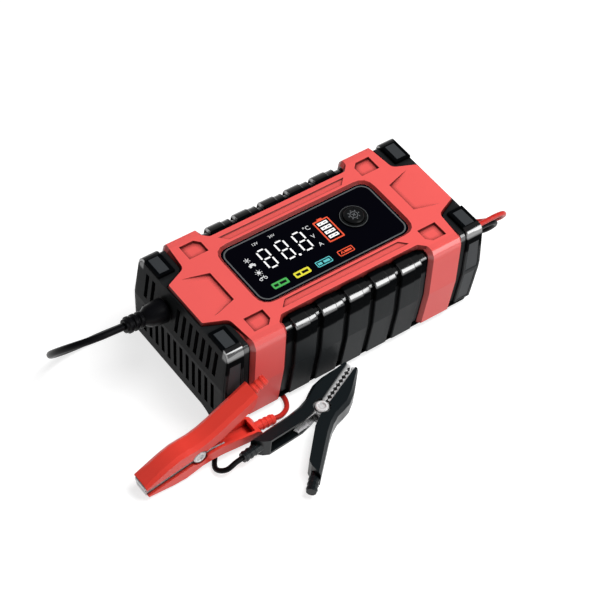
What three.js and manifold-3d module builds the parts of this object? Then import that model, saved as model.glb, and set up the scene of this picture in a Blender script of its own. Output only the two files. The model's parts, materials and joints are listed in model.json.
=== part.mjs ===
// Automatic car battery charger: a box-shaped case with a strapped red cover, ribbed grips,
// louvred end caps, a display with one mode button, a mains lead, and two battery clamps.
// Millimetres. +X is the case's length, -Y is its front, +Z is up, and the floor is z = 0.
import * as THREE from "three";
import { ConvexGeometry } from "three/addons/geometries/ConvexGeometry.js";
import { mergeVertices } from "three/addons/utils/BufferGeometryUtils.js";
import Module from "manifold-3d";

const wasm = await Module();
wasm.setup();

// ---- Driving dimensions -------------------------------------------------------------
const gap = 0.3; // between pieces that seat on each other

// case levels and half sizes
const feetHeight = 4;
const baseBottom = feetHeight + 0.2;
const skinBottom = 5.2; // straps, grips and caps end here
const creaseHeight = 34.9; // where the sides start to slope in, long sides
const capCreaseHeight = 40; // the same on the end caps
const foldHeight = 62.4; // where the shoulder starts
const coverTop = 71.7;
const coverThickness = 3.7;
const sideBottom = 47.9; // half widths of the straps' faces
const sideCrease = 50.2;
const sideFold = 49;
const shoulderEdge = 44.6; // half width of the flat top of a strap
const skinInner = 43.8; // half width of the hollow behind every skin
const capBottom = 97.6; // half lengths of the end caps
const capCrease = 99.2;
const capTopEdge = 96.8;
const capTopHeight = 68.6;
const capWall = 2.4;
const capCornerRadius = 4.5;

// cover outline
const coverEnd = 95;
const coverEndHalf = 17.5;
const notchX = 78; // outer edge of the straps
const notchY = 24;
const strapInner = 56.4;
const gripEdgeY = 37; // the cover's long edge over the grips
const gripNotchX = 51.8;
const coverRim = 0.8; // how far the cover's edge slopes out
const rimDepth = 2.4;
const strapChamfer = 2.4;

// grips
const ribCount = 5;
const ribPitch = 20;
const ribWidth = 16;
const ribHeight = 2.6;
const gripHalfLength = 53.6;
const gripFlange = 2.2;

// display and button
const lensCentreX = 1.5;
const lensHalfLength = 56.8;
const lensHalfWidth = 24.6;
const lensRadius = 8;
const lensTop = 70.2;
const lensThickness = 0.9;
const lensLedge = 3.4;
const recessSlope = 1.8;
const lcdHalfLength = 36;
const lcdCentreX = -12;
const lcdHalfWidth = 19.6;
const buttonX = 33.5;
const buttonY = 3.5;
const buttonRadius = 6.7;
const buttonTop = 72.7;
const buttonTravel = 0.8;
const bezelOuter = 9;
const bezelTop = 71.2;
const boardThickness = 1.6;
const displayDepth = 6.9; // from the lens top down to the board
const displayBoardTop = lensTop - displayDepth;
const displayBoardHalfLength = 54;
const displayBoardHalfWidth = 23.4;

// grilles
const slotCount = 12;
const slotPitch = 6.6;
const slotWidth = 3.3;
const upperSlots = [45, 64.4];
const lowerSlots = [13, 37];
const mainsGland = { y: 16, z: 53.5, radius: 8 };
const outputGland = { y: -26, z: 41, radius: 5.2 };

// fan, against the right end cap
const fan = { half: 20, y: 10, z: 36, depth: 10, bore: 18.6, hub: 8, blades: 7 };
const fanOuter = capTopEdge - capWall - gap;
const fanInner = fanOuter - fan.depth;
const fanPin = 1.5;

// leads
const mainsDiameter = 4.6;
const wireDiameter = 3.4;
const wirePitch = wireDiameter + 0.5;

// clamps
const clampThickness = 15;
const clampHalf = clampThickness / 2;
const jawHalf = 5.2;
const pivotBore = 2.4;
const rivetRadius = 2.1;
const rivetHead = 4.7;
const clampLength = 94; // jaw tip to sleeve end
const clampScale = clampLength / 102.4; // the outlines below are drawn 102.4 long
const clampGap = gap / clampScale;

const clampOpening = 25; // degrees, at the stop

// ---- Finishes -----------------------------------------------------------------------
const finish = (color, roughness, metalness = 0) =>
  new THREE.MeshStandardMaterial({ color, roughness, metalness });
const redPlastic = finish(0xf0564e, 0.42);
const redRubber = finish(0xf5402f, 0.5);
const blackPlastic = finish(0x1b1c1e, 0.45);
const blackRubber = finish(0x26282a, 0.6);
const glossBlack = finish(0x050507, 0.08);
const boardGreen = finish(0x1f5a34, 0.55);
const steel = finish(0xc9ccd0, 0.3, 1);
const brass = finish(0xc7a04a, 0.35, 1);
const aluminium = finish(0xa9adb2, 0.45, 1);
const ferrite = finish(0x2b2c30, 0.7);

// ---- Geometry helpers ---------------------------------------------------------------
const V = (x, y, z) => new THREE.Vector3(x, y, z);

function solid(geometry) {
  const bare = geometry.index ? geometry.toNonIndexed() : geometry.clone();
  for (const key of Object.keys(bare.attributes)) {
    if (key !== "position") bare.deleteAttribute(key);
  }
  const merged = mergeVertices(bare, 1e-4);
  const made = new wasm.Manifold(
    new wasm.Mesh({
      numProp: 3,
      vertProperties: merged.attributes.position.array,
      triVerts: new Uint32Array(merged.index.array),
    }),
  );
  return made;
}

function geometryOf(manifold) {
  const { numProp, vertProperties, triVerts } = manifold.getMesh();
  const position = new Float32Array((vertProperties.length / numProp) * 3);
  for (let i = 0; i < position.length / 3; i++) {
    position.set(vertProperties.subarray(i * numProp, i * numProp + 3), i * 3);
  }
  const geometry = new THREE.BufferGeometry();
  geometry.setAttribute("position", new THREE.BufferAttribute(position, 3));
  geometry.setIndex(new THREE.BufferAttribute(new Uint32Array(triVerts), 1));
  const flat = geometry.toNonIndexed();
  flat.computeVertexNormals();
  return flat;
}

const join = (first, ...rest) => rest.reduce((all, next) => all.add(next), first);
const cut = (first, ...rest) => rest.reduce((all, next) => all.subtract(next), first);

// A box between two corners.
function block(x0, x1, y0, y1, z0, z1) {
  const box = new THREE.BoxGeometry(x1 - x0, y1 - y0, z1 - z0);
  box.translate((x0 + x1) / 2, (y0 + y1) / 2, (z0 + z1) / 2);
  return solid(box);
}

// A round bar along X, Y or Z from a start point.
function bar(axis, radius, from, length, sides = 24, endRadius = radius) {
  const cylinder = new THREE.CylinderGeometry(endRadius, radius, length, sides);
  cylinder.translate(0, length / 2, 0);
  if (axis === "x") cylinder.rotateZ(-Math.PI / 2);
  if (axis === "z") cylinder.rotateX(Math.PI / 2);
  cylinder.translate(from.x, from.y, from.z);
  return solid(cylinder);
}

// An outline with its corners rounded: each point may carry a radius as its third value.
function roundedOutline(points, steps = 4) {
  const out = [];
  points.forEach(([x, y, radius = 0], i) => {
    const here = new THREE.Vector2(x, y);
    if (!radius) {
      out.push(here);
      return;
    }
    const [px, py] = points[(i + points.length - 1) % points.length];
    const [nx, ny] = points[(i + 1) % points.length];
    const back = new THREE.Vector2(px, py).sub(here);
    const ahead = new THREE.Vector2(nx, ny).sub(here);
    const half = Math.acos(back.clone().normalize().dot(ahead.clone().normalize())) / 2;
    const reach = Math.min(radius / Math.tan(half), back.length() / 2.01, ahead.length() / 2.01);
    const start = here.clone().addScaledVector(back.normalize(), reach);
    const end = here.clone().addScaledVector(ahead.normalize(), reach);
    const arc = new THREE.QuadraticBezierCurve(start, here, end);
    out.push(...arc.getPoints(steps));
  });
  return out;
}

const mirrored = (points) => points.map(([x, y, r]) => [-x, y, r]).reverse();
const rectangle = (halfX, halfY, radius, cx = 0, cy = 0) => [
  [cx + halfX, cy - halfY, radius],
  [cx + halfX, cy + halfY, radius],
  [cx - halfX, cy + halfY, radius],
  [cx - halfX, cy - halfY, radius],
];

// A plan outline raised from z0 to z1.
function prism(points, z0, z1, steps = 4) {
  const shape = new THREE.Shape(roundedOutline(points, steps));
  const raised = new THREE.ExtrudeGeometry(shape, { depth: z1 - z0, bevelEnabled: false });
  raised.translate(0, 0, z0);
  return solid(raised);
}

// A skin through rings that all have the same number of points, closed at both ends.
function loft(rings) {
  const count = rings[0].length;
  const caps = [rings[0], rings[rings.length - 1]].map((ring) => {
    const normal = ring.reduce(
      (sum, p, i) => sum.add(p.clone().cross(ring[(i + 1) % count])),
      V(0, 0, 0),
    );
    const drop = ["x", "y", "z"].reduce((a, b) => (Math.abs(normal[b]) > Math.abs(normal[a]) ? b : a));
    const [u, v] = { x: ["y", "z"], y: ["z", "x"], z: ["x", "y"] }[drop];
    const flat = ring.map((p) => new THREE.Vector2(p[u], p[v]));
    const faces = THREE.ShapeUtils.triangulateShape(flat, []);
    return THREE.ShapeUtils.isClockWise(flat) ? faces.map(([a, b, c]) => [a, c, b]) : faces;
  });
  const position = [];
  const put = (...points) => points.forEach((p) => position.push(p.x, p.y, p.z));
  for (let r = 0; r + 1 < rings.length; r++) {
    for (let i = 0; i < count; i++) {
      const j = (i + 1) % count;
      put(rings[r][i], rings[r][j], rings[r + 1][j]);
      put(rings[r][i], rings[r + 1][j], rings[r + 1][i]);
    }
  }
  caps[0].forEach(([a, b, c]) => put(rings[0][a], rings[0][c], rings[0][b]));
  const last = rings[rings.length - 1];
  caps[1].forEach(([a, b, c]) => put(last[a], last[b], last[c]));
  const skin = new THREE.BufferGeometry();
  skin.setAttribute("position", new THREE.Float32BufferAttribute(position, 3));
  const made = solid(skin);
  if (made.volume() > 0) return made;
  for (let i = 0; i < position.length; i += 9) {
    for (let k = 0; k < 3; k++) {
      [position[i + 3 + k], position[i + 6 + k]] = [position[i + 6 + k], position[i + 3 + k]];
    }
  }
  skin.setAttribute("position", new THREE.Float32BufferAttribute(position, 3));
  return solid(skin);
}

// The same YZ profile, grown or shrunk, at several places along X.
const loftAlongX = (sections) =>
  loft(sections.map(([x, profile]) => profile.map(([y, z]) => V(x, y, z))));

const hull = (points) => solid(new ConvexGeometry(points.map((p) => V(...p))));

// A revolved profile of [radius, height] pairs, with its axis along X, Y or Z.
function turned(profile, axis, at, segments = 24) {
  const lathe = new THREE.LatheGeometry(
    profile.map(([r, h]) => new THREE.Vector2(r, h)),
    segments,
  );
  if (axis === "x") lathe.rotateZ(-Math.PI / 2);
  if (axis === "z") lathe.rotateX(Math.PI / 2);
  lathe.translate(at.x, at.y, at.z);
  const made = solid(lathe);
  return made;
}

// A round tube along a curve, with rings at even steps and square ends.
function tube(curve, radius, steps, sides) {
  const shape = new THREE.Shape();
  for (let i = 0; i < sides; i++) {
    const angle = ((i + 0.5) / sides) * 2 * Math.PI;
    const point = [radius * Math.cos(angle), radius * Math.sin(angle)];
    if (i) shape.lineTo(...point);
    else shape.moveTo(...point);
  }
  const swept = new THREE.ExtrudeGeometry(shape, { steps, extrudePath: curve, bevelEnabled: false });
  return swept;
}

const charger = new THREE.Group();
charger.name = "car_battery_charger";

function piece(name, shape, material, parent = charger) {
  const geometry = shape.isBufferGeometry ? shape : geometryOf(shape);
  const mesh = new THREE.Mesh(geometry, material);
  mesh.name = name;
  parent.add(mesh);
  return mesh;
}

const bothEnds = [
  ["left", -1],
  ["right", 1],
];
const bothSides = [
  ["front", -1],
  ["rear", 1],
];

// ---- Case sections ------------------------------------------------------------------
// The outer line of a long side, from its bottom up and over the shoulder, pulled in by
// "inset" on the face and lowered by "drop" on the top.
function sideLine(inset, drop, bottom = skinBottom, top = coverTop, edge = shoulderEdge) {
  const face = new THREE.Vector2(sideFold - inset, foldHeight - drop / 2);
  const corner = new THREE.Vector2(sideFold - inset - 0.2, top - drop);
  const flat = new THREE.Vector2(edge - inset / 2, top - drop);
  const shoulder = new THREE.QuadraticBezierCurve(face, corner, flat).getPoints(5);
  return [
    [sideBottom - inset, bottom],
    [sideCrease - inset, creaseHeight],
    ...shoulder.map((p) => [p.x, p.y]),
  ];
}

// ---- Red cover ----------------------------------------------------------------------
const coverUnderside = coverTop - coverThickness;

function coverOutline(grow) {
  const quarter = [
    [coverEnd + grow, coverEndHalf + grow * 0.6, 1.2],
    [notchX + 2 + grow, notchY + grow, 5],
    [notchX + grow, shoulderEdge, 0],
    [strapInner - grow, shoulderEdge, 0],
    [strapInner - grow, gripEdgeY + 4.5 + grow, 3],
    [gripNotchX - grow, gripEdgeY + grow, 3],
  ];
  const rear = [...quarter, ...mirrored(quarter)];
  const front = rear.map(([x, y, r]) => [-x, -y, r]);
  return [...rear, ...front];
}

function strapSection(inset) {
  const outer = sideLine(inset, inset);
  const front = outer.map(([y, z]) => [-y, z]).reverse();
  return [
    ...outer,
    ...front,
    [-skinInner, skinBottom],
    [-skinInner, coverUnderside],
    [skinInner, coverUnderside],
    [skinInner, skinBottom],
  ];
}

function makeCover() {
  const rings = [
    [coverTop, 0],
    [coverTop - rimDepth, coverRim],
    [coverUnderside, coverRim],
  ].map(([z, grow]) => roundedOutline(coverOutline(grow), 4).map((p) => V(p.x, p.y, z)));
  let cover = loft(rings);
  for (const [, side] of bothEnds) {
    const sections = [
      [strapInner - strapChamfer, strapChamfer],
      [strapInner, 0],
      [notchX, 0],
      [notchX + strapChamfer, strapChamfer],
    ].map(([x, inset]) => [side * x, strapSection(inset)]);
    cover = cover.add(loftAlongX(sections));
  }
  // the display's recess: a through hole, a ledge for the lens, and sloping walls
  const pocket = (grow) =>
    rectangle(lensHalfLength + grow, lensHalfWidth + grow, lensRadius + grow, lensCentreX);
  const ledgeTop = lensTop - lensThickness - gap;
  cover = cut(
    cover,
    prism(
      rectangle(lensHalfLength - lensLedge, lensHalfWidth - lensLedge, 5, lensCentreX),
      coverUnderside - 1,
      coverTop,
    ),
    prism(pocket(gap), ledgeTop, coverTop + 1),
    loft(
      [
        [lensTop, 0.1],
        [coverTop, recessSlope],
        [coverTop + 1, recessSlope * 2],
      ].map(([z, grow]) => roundedOutline(pocket(gap + grow), 4).map((p) => V(p.x, p.y, z))),
    ),
  );
  for (const [, side] of bothEnds) cover = cut(cover, endWedge(side), ...strapPockets(side));
  for (const [, side] of bothSides) cover = cut(cover, longGroove(side));
  // four posts that the display board is screwed to
  for (const [, sx] of bothEnds) {
    for (const [, sy] of bothSides) {
      const x = lensCentreX + sx * (displayBoardHalfLength - 3);
      const y = sy * (displayBoardHalfWidth - 1.6);
      const post = bar("z", 2.4, V(x, y, displayBoardTop + gap), coverUnderside - displayBoardTop, 12);
      cover = cover.add(post);
    }
  }
  return cover;
}

// A ramp that is deepest beside the display and runs out towards the end edge.
const wedge = { wall: 69.2, far: 86, wallHalf: 12.6, farHalf: 17.6, depth: 1.5 };
function endWedge(side) {
  const { wall, far, wallHalf, farHalf, depth } = wedge;
  const points = [];
  for (const y of [-1, 1]) {
    points.push([side * wall, y * (wallHalf - 0.6), coverTop - depth]);
    points.push([side * (wall - 0.8), y * wallHalf, coverTop + 0.5]);
    points.push([side * far, y * (farHalf - 0.6), coverTop]);
    points.push([side * far, y * farHalf, coverTop + 0.5]);
  }
  return hull(points);
}

// Shallow five-sided pockets on the straps' tops.
const pocketPlan = { inner: 58.8, outer: 72.9, near: 27.8, far: 39.6, corner: 3.6, depth: 0.9 };
function strapPockets(side) {
  const { inner, outer, near, far, corner, depth } = pocketPlan;
  const outline = [
    [inner, near],
    [outer, near],
    [outer, far],
    [inner + corner, far],
    [inner, far - corner],
  ];
  const centre = [(inner + outer) / 2, (near + far) / 2];
  return bothSides.map(([, sy]) =>
    hull(
      outline.flatMap(([x, y]) => {
        const floor = [x, y].map((value, i) => value + (centre[i] - value) * 0.09);
        return [
          [side * x, sy * y, coverTop + 0.2],
          [side * floor[0], sy * floor[1], coverTop - depth],
        ];
      }),
    ),
  );
}

// A long shallow groove between the display and each grip.
const groove = { inner: 28.4, outer: 33.6, innerHalf: 43, outerHalf: 48.2, depth: 0.7 };
function longGroove(side) {
  const { inner, outer, innerHalf, outerHalf, depth } = groove;
  const points = [];
  for (const x of [-1, 1]) {
    points.push([x * innerHalf, side * inner, coverTop + 0.2]);
    points.push([x * outerHalf, side * outer, coverTop + 0.2]);
    points.push([x * (innerHalf - 0.3), side * (inner + 0.5), coverTop - depth]);
    points.push([x * (outerHalf - 0.9), side * (outer - 0.7), coverTop - depth]);
  }
  return hull(points);
}

piece("top_cover", makeCover(), redPlastic);

// ---- Black grips --------------------------------------------------------------------
const gripTop = coverTop - 2;
const gripUnder = coverUnderside - gap;

function gripSection(inset, drop) {
  const outer = sideLine(0.2 + inset, 0, skinBottom + drop, gripTop - inset * 0.8, 42.6);
  return [
    ...outer,
    [gripEdgeY + coverRim + 2 * gap, gripTop - inset * 0.8],
    [gripEdgeY + coverRim + 2 * gap, gripUnder - gripFlange],
    [skinInner - 1.2, gripUnder - gripFlange],
    [skinInner, gripUnder - gripFlange - 1.2],
    [skinInner, skinBottom + drop],
  ];
}

function makeGrip(side) {
  const turn = (profile) => profile.map(([y, z]) => [side * y, z]);
  const low = turn(gripSection(ribHeight, 1.2));
  let grip = loftAlongX([
    [-gripHalfLength, low],
    [gripHalfLength, low],
  ]);
  const ribEdge = 0.5;
  const full = turn(gripSection(0, 0));
  const eased = turn(gripSection(ribEdge, 0));
  for (let i = 0; i < ribCount; i++) {
    const x = (i - (ribCount - 1) / 2) * ribPitch;
    grip = grip.add(
      loftAlongX([
        [x - ribWidth / 2, eased],
        [x - ribWidth / 2 + ribEdge, full],
        [x + ribWidth / 2 - ribEdge, full],
        [x + ribWidth / 2, eased],
      ]),
    );
  }
  return grip;
}

for (const [name, side] of bothSides) piece(name + "_grip", makeGrip(side), blackRubber);

// ---- End caps -----------------------------------------------------------------------
const capStart = notchX + strapChamfer + gap; // where a cap begins behind the strap
const channelDepth = 2.6; // the channel between strap and bumper

// The whole case as rounded rectangles, with the end faces' own slopes.
function capEnvelope() {
  const levels = [
    [skinBottom, capBottom],
    [capCreaseHeight, capCrease],
    [capTopHeight, capTopEdge],
    [coverTop + 1, capTopEdge - 0.5],
  ];
  return loft(
    levels.map(([z, halfX]) =>
      roundedOutline(rectangle(halfX, sideCrease + 1, capCornerRadius + 2), 5).map((p) =>
        V(p.x, p.y, z),
      ),
    ),
  );
}

function capProfile(inset, top) {
  const outer = sideLine(inset, 0, skinBottom, top, shoulderEdge - 0.4);
  return [...outer, ...outer.map(([y, z]) => [-y, z]).reverse()];
}

const capLowTop = 69.6;
const envelope = capEnvelope();

function makeCap(side) {
  const profile = capProfile(channelDepth + 0.4, capLowTop);
  let cap = loftAlongX([
    [side * capStart, profile],
    [side * (capCrease + 1), profile],
  ]).intersect(envelope);
  // hollow, open towards the case and underneath
  const innerEnd = capTopEdge - capWall;
  const [x0, x1] = [side * (capStart - 1), side * innerEnd].sort((a, b) => a - b);
  cap = cut(cap, block(x0, x1, -skinInner, skinInner, skinBottom - 1, gripUnder - gripFlange));
  // clear of the red cover
  const clear = gap + coverRim;
  cap = cut(cap, prism(coverOutline(clear), gripUnder, coverTop + 2));
  // vent slots, left out where the lead comes through
  const gland = side < 0 ? mainsGland : outputGland;
  const reach = gland.radius + slotWidth / 2 + 0.6;
  const [s0, s1] = [side * (innerEnd - 1), side * (capCrease + 2)].sort((a, b) => a - b);
  for (let i = 0; i < slotCount; i++) {
    const y = (i - (slotCount - 1) / 2) * slotPitch;
    for (const [z0, z1] of [upperSlots, lowerSlots]) {
      const beside = Math.abs(y - gland.y) < reach;
      const level = gland.z > z0 - gland.radius && gland.z < z1 + gland.radius;
      if (beside && level) continue;
      cap = cut(cap, block(s0, s1, y - slotWidth / 2, y + slotWidth / 2, z0, z1));
    }
  }
  const bore = bar("x", glandNeck + 2 * gap, V(Math.min(s0, s1), gland.y, gland.z), s1 - s0, 16);
  return cut(cap, bore);
}

const glandNeck = 3.8;
const caps = {};
for (const [name, side] of bothEnds) {
  caps[name] = makeCap(side);
  piece(name + "_end_cap", caps[name], blackPlastic);
}

// ---- Corner bumpers -----------------------------------------------------------------
const bumperInner = 84.7;
const bumperTop = 71.9;
const bumperEdgeY = 26; // where a bumper starts on the top
const bumperBack = 0.4; // set back from the straps' faces

function bumperSection(sy, inset) {
  const outer = sideLine(1.3 + bumperBack + inset, inset * 0.6, skinBottom, bumperTop, 43.6);
  const under = sideLine(channelDepth + 0.4 - gap, 0, skinBottom, capLowTop + gap, shoulderEdge - 0.4);
  const line = [
    ...outer,
    [bumperEdgeY, bumperTop - inset * 0.6],
    [bumperEdgeY, capLowTop + gap],
    ...under.reverse(),
  ];
  return line.map(([y, z]) => [sy * y, z]);
}

for (const [endName, sx] of bothEnds) {
  for (const [sideName, sy] of bothSides) {
    const full = bumperSection(sy, 0);
    const eased = bumperSection(sy, 0.6);
    const bumper = loftAlongX([
      [sx * bumperInner, eased],
      [sx * (bumperInner + 0.6), full],
      [sx * (capCrease + 1), full],
    ]).intersect(envelope);
    piece(`${sideName}_${endName}_bumper`, bumper, blackRubber);
  }
}

// ---- Base tray ----------------------------------------------------------------------
const trayHalfLength = 93.8;
const trayHalfWidth = skinInner - gap;
const trayWall = 2.2;
const trayFloor = 2.5;
const trayTop = 38;
const mainBoardBottom = 14;
const mainBoard = { left: 86, right: 78, half: 38.5, notchX: 8, notchY: 9.5 };
const bossRadius = 3;
const screwPlan = [84, 36];
const footPlan = [70, 33];

const screw = { head: 3, shank: 1.6, seat: 2.4, length: 12 };
const boardBoss = [74, 34];

function makeBase() {
  const outer = rectangle(trayHalfLength, trayHalfWidth, 4);
  const inner = rectangle(trayHalfLength - trayWall, trayHalfWidth - trayWall, 2);
  const floorTop = baseBottom + trayFloor;
  let base = cut(prism(outer, baseBottom, trayTop), prism(inner, floorTop, trayTop + 1));
  // openings for the fan and for both strain reliefs
  const fanTop = fan.z + fan.half + 1;
  base = cut(
    base,
    block(fanInner - 1, trayHalfLength + 1, fan.y - fan.half - 1, fan.y + fan.half + 1, fan.z - fan.half - 1, fanTop),
  );
  for (const [side, gland] of [[-1, mainsGland], [1, outputGland]]) {
    const [x0, x1] = [side * (trayHalfLength - 6), side * (trayHalfLength + 1)].sort((a, b) => a - b);
    base = cut(base, block(x0, x1, gland.y - 6, gland.y + 6, gland.z - 7, trayTop + 1));
  }
  // the floor's lip under the skins
  base = base.add(
    prism(rectangle(capBottom - 1.6, sideBottom - 1.4, 4), baseBottom, skinBottom - gap),
  );
  for (const [, sx] of bothEnds) {
    for (const [, sy] of bothSides) {
      const [x, y] = [sx * screwPlan[0], sy * screwPlan[1]];
      base = base.add(bar("z", 4.5, V(x, y, floorTop - 0.5), 11, 16));
      base = cut(
        base,
        bar("z", screw.head + gap, V(x, y, baseBottom - 1), 1 + screw.seat, 16),
        bar("z", screw.shank + gap, V(x, y, baseBottom - 1), 20, 12),
      );
      const boss = V(sx * boardBoss[0], sy * boardBoss[1], floorTop - 0.5);
      base = base.add(bar("z", bossRadius, boss, mainBoardBottom - gap - boss.z, 12));
    }
  }
  return base;
}

piece("base_shell", makeBase(), blackPlastic);

for (const [endName, sx] of bothEnds) {
  for (const [sideName, sy] of bothSides) {
    const [fx, fy] = [sx * footPlan[0], sy * footPlan[1]];
    const foot = [
      [0, 0],
      [5.2, 0],
      [6, 0.8],
      [6, feetHeight - 0.1],
      [0, feetHeight - 0.1],
    ];
    piece(`${sideName}_${endName}_foot`, turned(foot, "z", V(fx, fy, 0), 16), blackRubber);
    const [x, y] = [sx * screwPlan[0], sy * screwPlan[1]];
    const screwProfile = [
      [0, 0],
      [screw.head * 0.7, 0],
      [screw.head, 0.7],
      [screw.head, 1.7],
      [screw.shank, 1.7],
      [screw.shank, screw.length],
      [0, screw.length + 0.8],
    ];
    const at = V(x, y, baseBottom + screw.seat - 1.7 - gap);
    piece(`${sideName}_${endName}_screw`, turned(screwProfile, "z", at, 10), steel);
  }
}

// ---- Display ------------------------------------------------------------------------
const lensBottom = lensTop - lensThickness;
const buttonAt = V(buttonX, buttonY, 0);
const buttonHole = buttonRadius + 0.5;

piece(
  "display_window",
  cut(
    prism(rectangle(lensHalfLength, lensHalfWidth, lensRadius, lensCentreX), lensBottom, lensTop, 6),
    bar("z", buttonHole, buttonAt.clone().setZ(lensBottom - 1), lensThickness + 2, 32),
  ),
  glossBlack,
);
piece(
  "button_bezel",
  turned(
    [
      [buttonHole - 0.1, lensTop + 0.1],
      [bezelOuter, lensTop + 0.1],
      [bezelOuter, lensTop + 0.5],
      [bezelOuter - 0.7, bezelTop],
      [buttonHole - 0.1, bezelTop],
      [buttonHole - 0.1, lensTop + 0.1],
    ],
    "z",
    buttonAt,
    28,
  ),
  blackPlastic,
);

const lcdTop = lensBottom - gap;
const lcdBottom = displayBoardTop + gap;
piece(
  "lcd_panel",
  prism(rectangle(lcdHalfLength, lcdHalfWidth, 0, lcdCentreX), lcdBottom, lcdTop),
  glossBlack,
);
piece(
  "display_board",
  prism(
    rectangle(displayBoardHalfLength, displayBoardHalfWidth, 2, lensCentreX),
    displayBoardTop - boardThickness,
    displayBoardTop,
  ),
  boardGreen,
);

const buttonFlange = { radius: buttonRadius + 1.6, thickness: 0.7 };
const stemBottom = displayBoardTop + 4.1;
const flangeTop = lensBottom - gap;
piece(
  "mode_button",
  turned(
    [
      [0, stemBottom],
      [2, stemBottom],
      [2, flangeTop - buttonFlange.thickness],
      [buttonFlange.radius, flangeTop - buttonFlange.thickness],
      [buttonFlange.radius, flangeTop],
      [buttonRadius, flangeTop],
      [buttonRadius, buttonTop - 0.7],
      [buttonRadius - 0.8, buttonTop],
      [buttonRadius - 2, buttonTop],
      [0, buttonTop - 0.5],
    ],
    "z",
    buttonAt,
    24,
  ),
  blackRubber,
);
const switchTop = stemBottom - buttonTravel - 0.15;
piece(
  "button_switch",
  join(
    block(buttonX - 3, buttonX + 3, buttonY - 3, buttonY + 3, lcdBottom, lcdBottom + 2),
    bar("z", 1.7, V(buttonX, buttonY, lcdBottom + 1.5), switchTop - lcdBottom - 1.5, 12),
  ),
  blackPlastic,
);

// ---- Power electronics --------------------------------------------------------------
const boardTop = mainBoardBottom + boardThickness;
const seat = boardTop + 0.2;
function makeMainBoard() {
  const { left, right, half, notchX, notchY } = mainBoard;
  let board = block(-left, right, -half, half, mainBoardBottom, boardTop);
  for (const [, side] of bothSides) {
    const [y0, y1] = [side * (half - notchY), side * (half + 1)].sort((a, b) => a - b);
    const notch = block(-left - 1, notchX - left, y0, y1, mainBoardBottom - 1, boardTop + 1);
    board = board.subtract(notch);
  }
  return board;
}
piece("main_board", makeMainBoard(), boardGreen);

function makeTransformer() {
  const core = cut(
    block(-16, 16, -12, 12, seat, seat + 26),
    block(-10.5, 10.5, -13, 13, seat + 5, seat + 21),
  );
  const winding = prism(rectangle(10.2, 11.6, 3), seat + 4.8, seat + 21.2);
  return core.add(winding);
}
const moved = (manifold, x, y) => manifold.translate([x, y, 0]);
piece("transformer", moved(makeTransformer(), 6, -8), ferrite);
piece(
  "filter_choke",
  moved(
    join(
      block(-9, 9, -8, 8, seat, seat + 2),
      cut(bar("z", 9, V(0, 0, seat + 1.8), 12, 20), bar("z", 4, V(0, 0, seat + 3), 12, 16)),
    ),
    -62,
    20,
  ),
  ferrite,
);
piece(
  "input_capacitor",
  turned(
    [
      [0, seat],
      [8.6, seat],
      [9, seat + 0.6],
      [9, seat + 29],
      [8.4, seat + 30],
      [0, seat + 30],
    ],
    "z",
    V(-36, -16, 0),
    20,
  ),
  blackPlastic,
);
piece(
  "output_capacitor",
  turned(
    [
      [0, seat],
      [6, seat],
      [6.2, seat + 0.6],
      [6.2, seat + 24],
      [5.6, seat + 25],
      [0, seat + 25],
    ],
    "z",
    V(40, -18, 0),
    20,
  ),
  blackPlastic,
);

const fins = 6;
function makeHeatSink(length, height) {
  let sink = block(-length / 2, length / 2, -1.5, 1.5, seat, seat + height);
  for (let i = 0; i < fins; i++) {
    const z = seat + 2 + (i * (height - 4)) / (fins - 1);
    sink = sink.add(block(-length / 2, length / 2, 1, 9, z - 0.6, z + 0.6));
  }
  return sink;
}
piece("primary_heat_sink", moved(makeHeatSink(60, 30), -22, 24), aluminium);
piece("secondary_heat_sink", moved(makeHeatSink(44, 30), 48, 24), aluminium);

// ---- Fan ----------------------------------------------------------------------------

function makeFanFrame() {
  const { half, y, z, depth, bore, hub } = fan;
  const square = (grow) => block(fanInner, fanOuter, y - half + grow, y + half - grow, z - half + grow, z + half - grow);
  let frame = cut(square(0), bar("x", bore, V(fanInner - 1, y, z), depth + 2, 36));
  frame = frame.add(bar("x", hub, V(fanInner, y, z), 1.6, 20));
  for (let i = 0; i < 3; i++) {
    const arm = new THREE.BoxGeometry(1.6, 2.4, bore + 0.6);
    arm.translate(0.8, 0, (bore + 0.6) / 2);
    arm.rotateX((i * 2 * Math.PI) / 3 + 0.3);
    arm.translate(fanInner, y, z);
    frame = frame.add(solid(arm));
  }
  return frame.add(bar("x", fanPin, V(fanInner + 1, y, z), 6, 12));
}
piece("fan_frame", makeFanFrame(), blackPlastic);

function makeRotor() {
  const { y, z, depth, bore, hub, blades } = fan;
  const start = fanInner + 1.6 + 0.4;
  const length = depth - 3;
  let rotor = bar("x", hub, V(start, y, z), length, 28);
  for (let i = 0; i < blades; i++) {
    const blade = new THREE.BoxGeometry(length * 0.98, 1, bore - 0.8 - hub + 1.5);
    blade.rotateZ(0.62);
    blade.scale(0.8, 1, 1);
    blade.translate(start + length / 2, 0, (bore - 0.8 + hub - 1.5) / 2);
    blade.rotateX((i * 2 * Math.PI) / blades);
    blade.translate(0, y, z);
    rotor = rotor.add(solid(blade));
  }
  return cut(rotor, bar("x", fanPin + 0.15, V(start - 1, y, z), 6.6, 12));
}
piece("fan_rotor", makeRotor(), blackPlastic);

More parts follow.
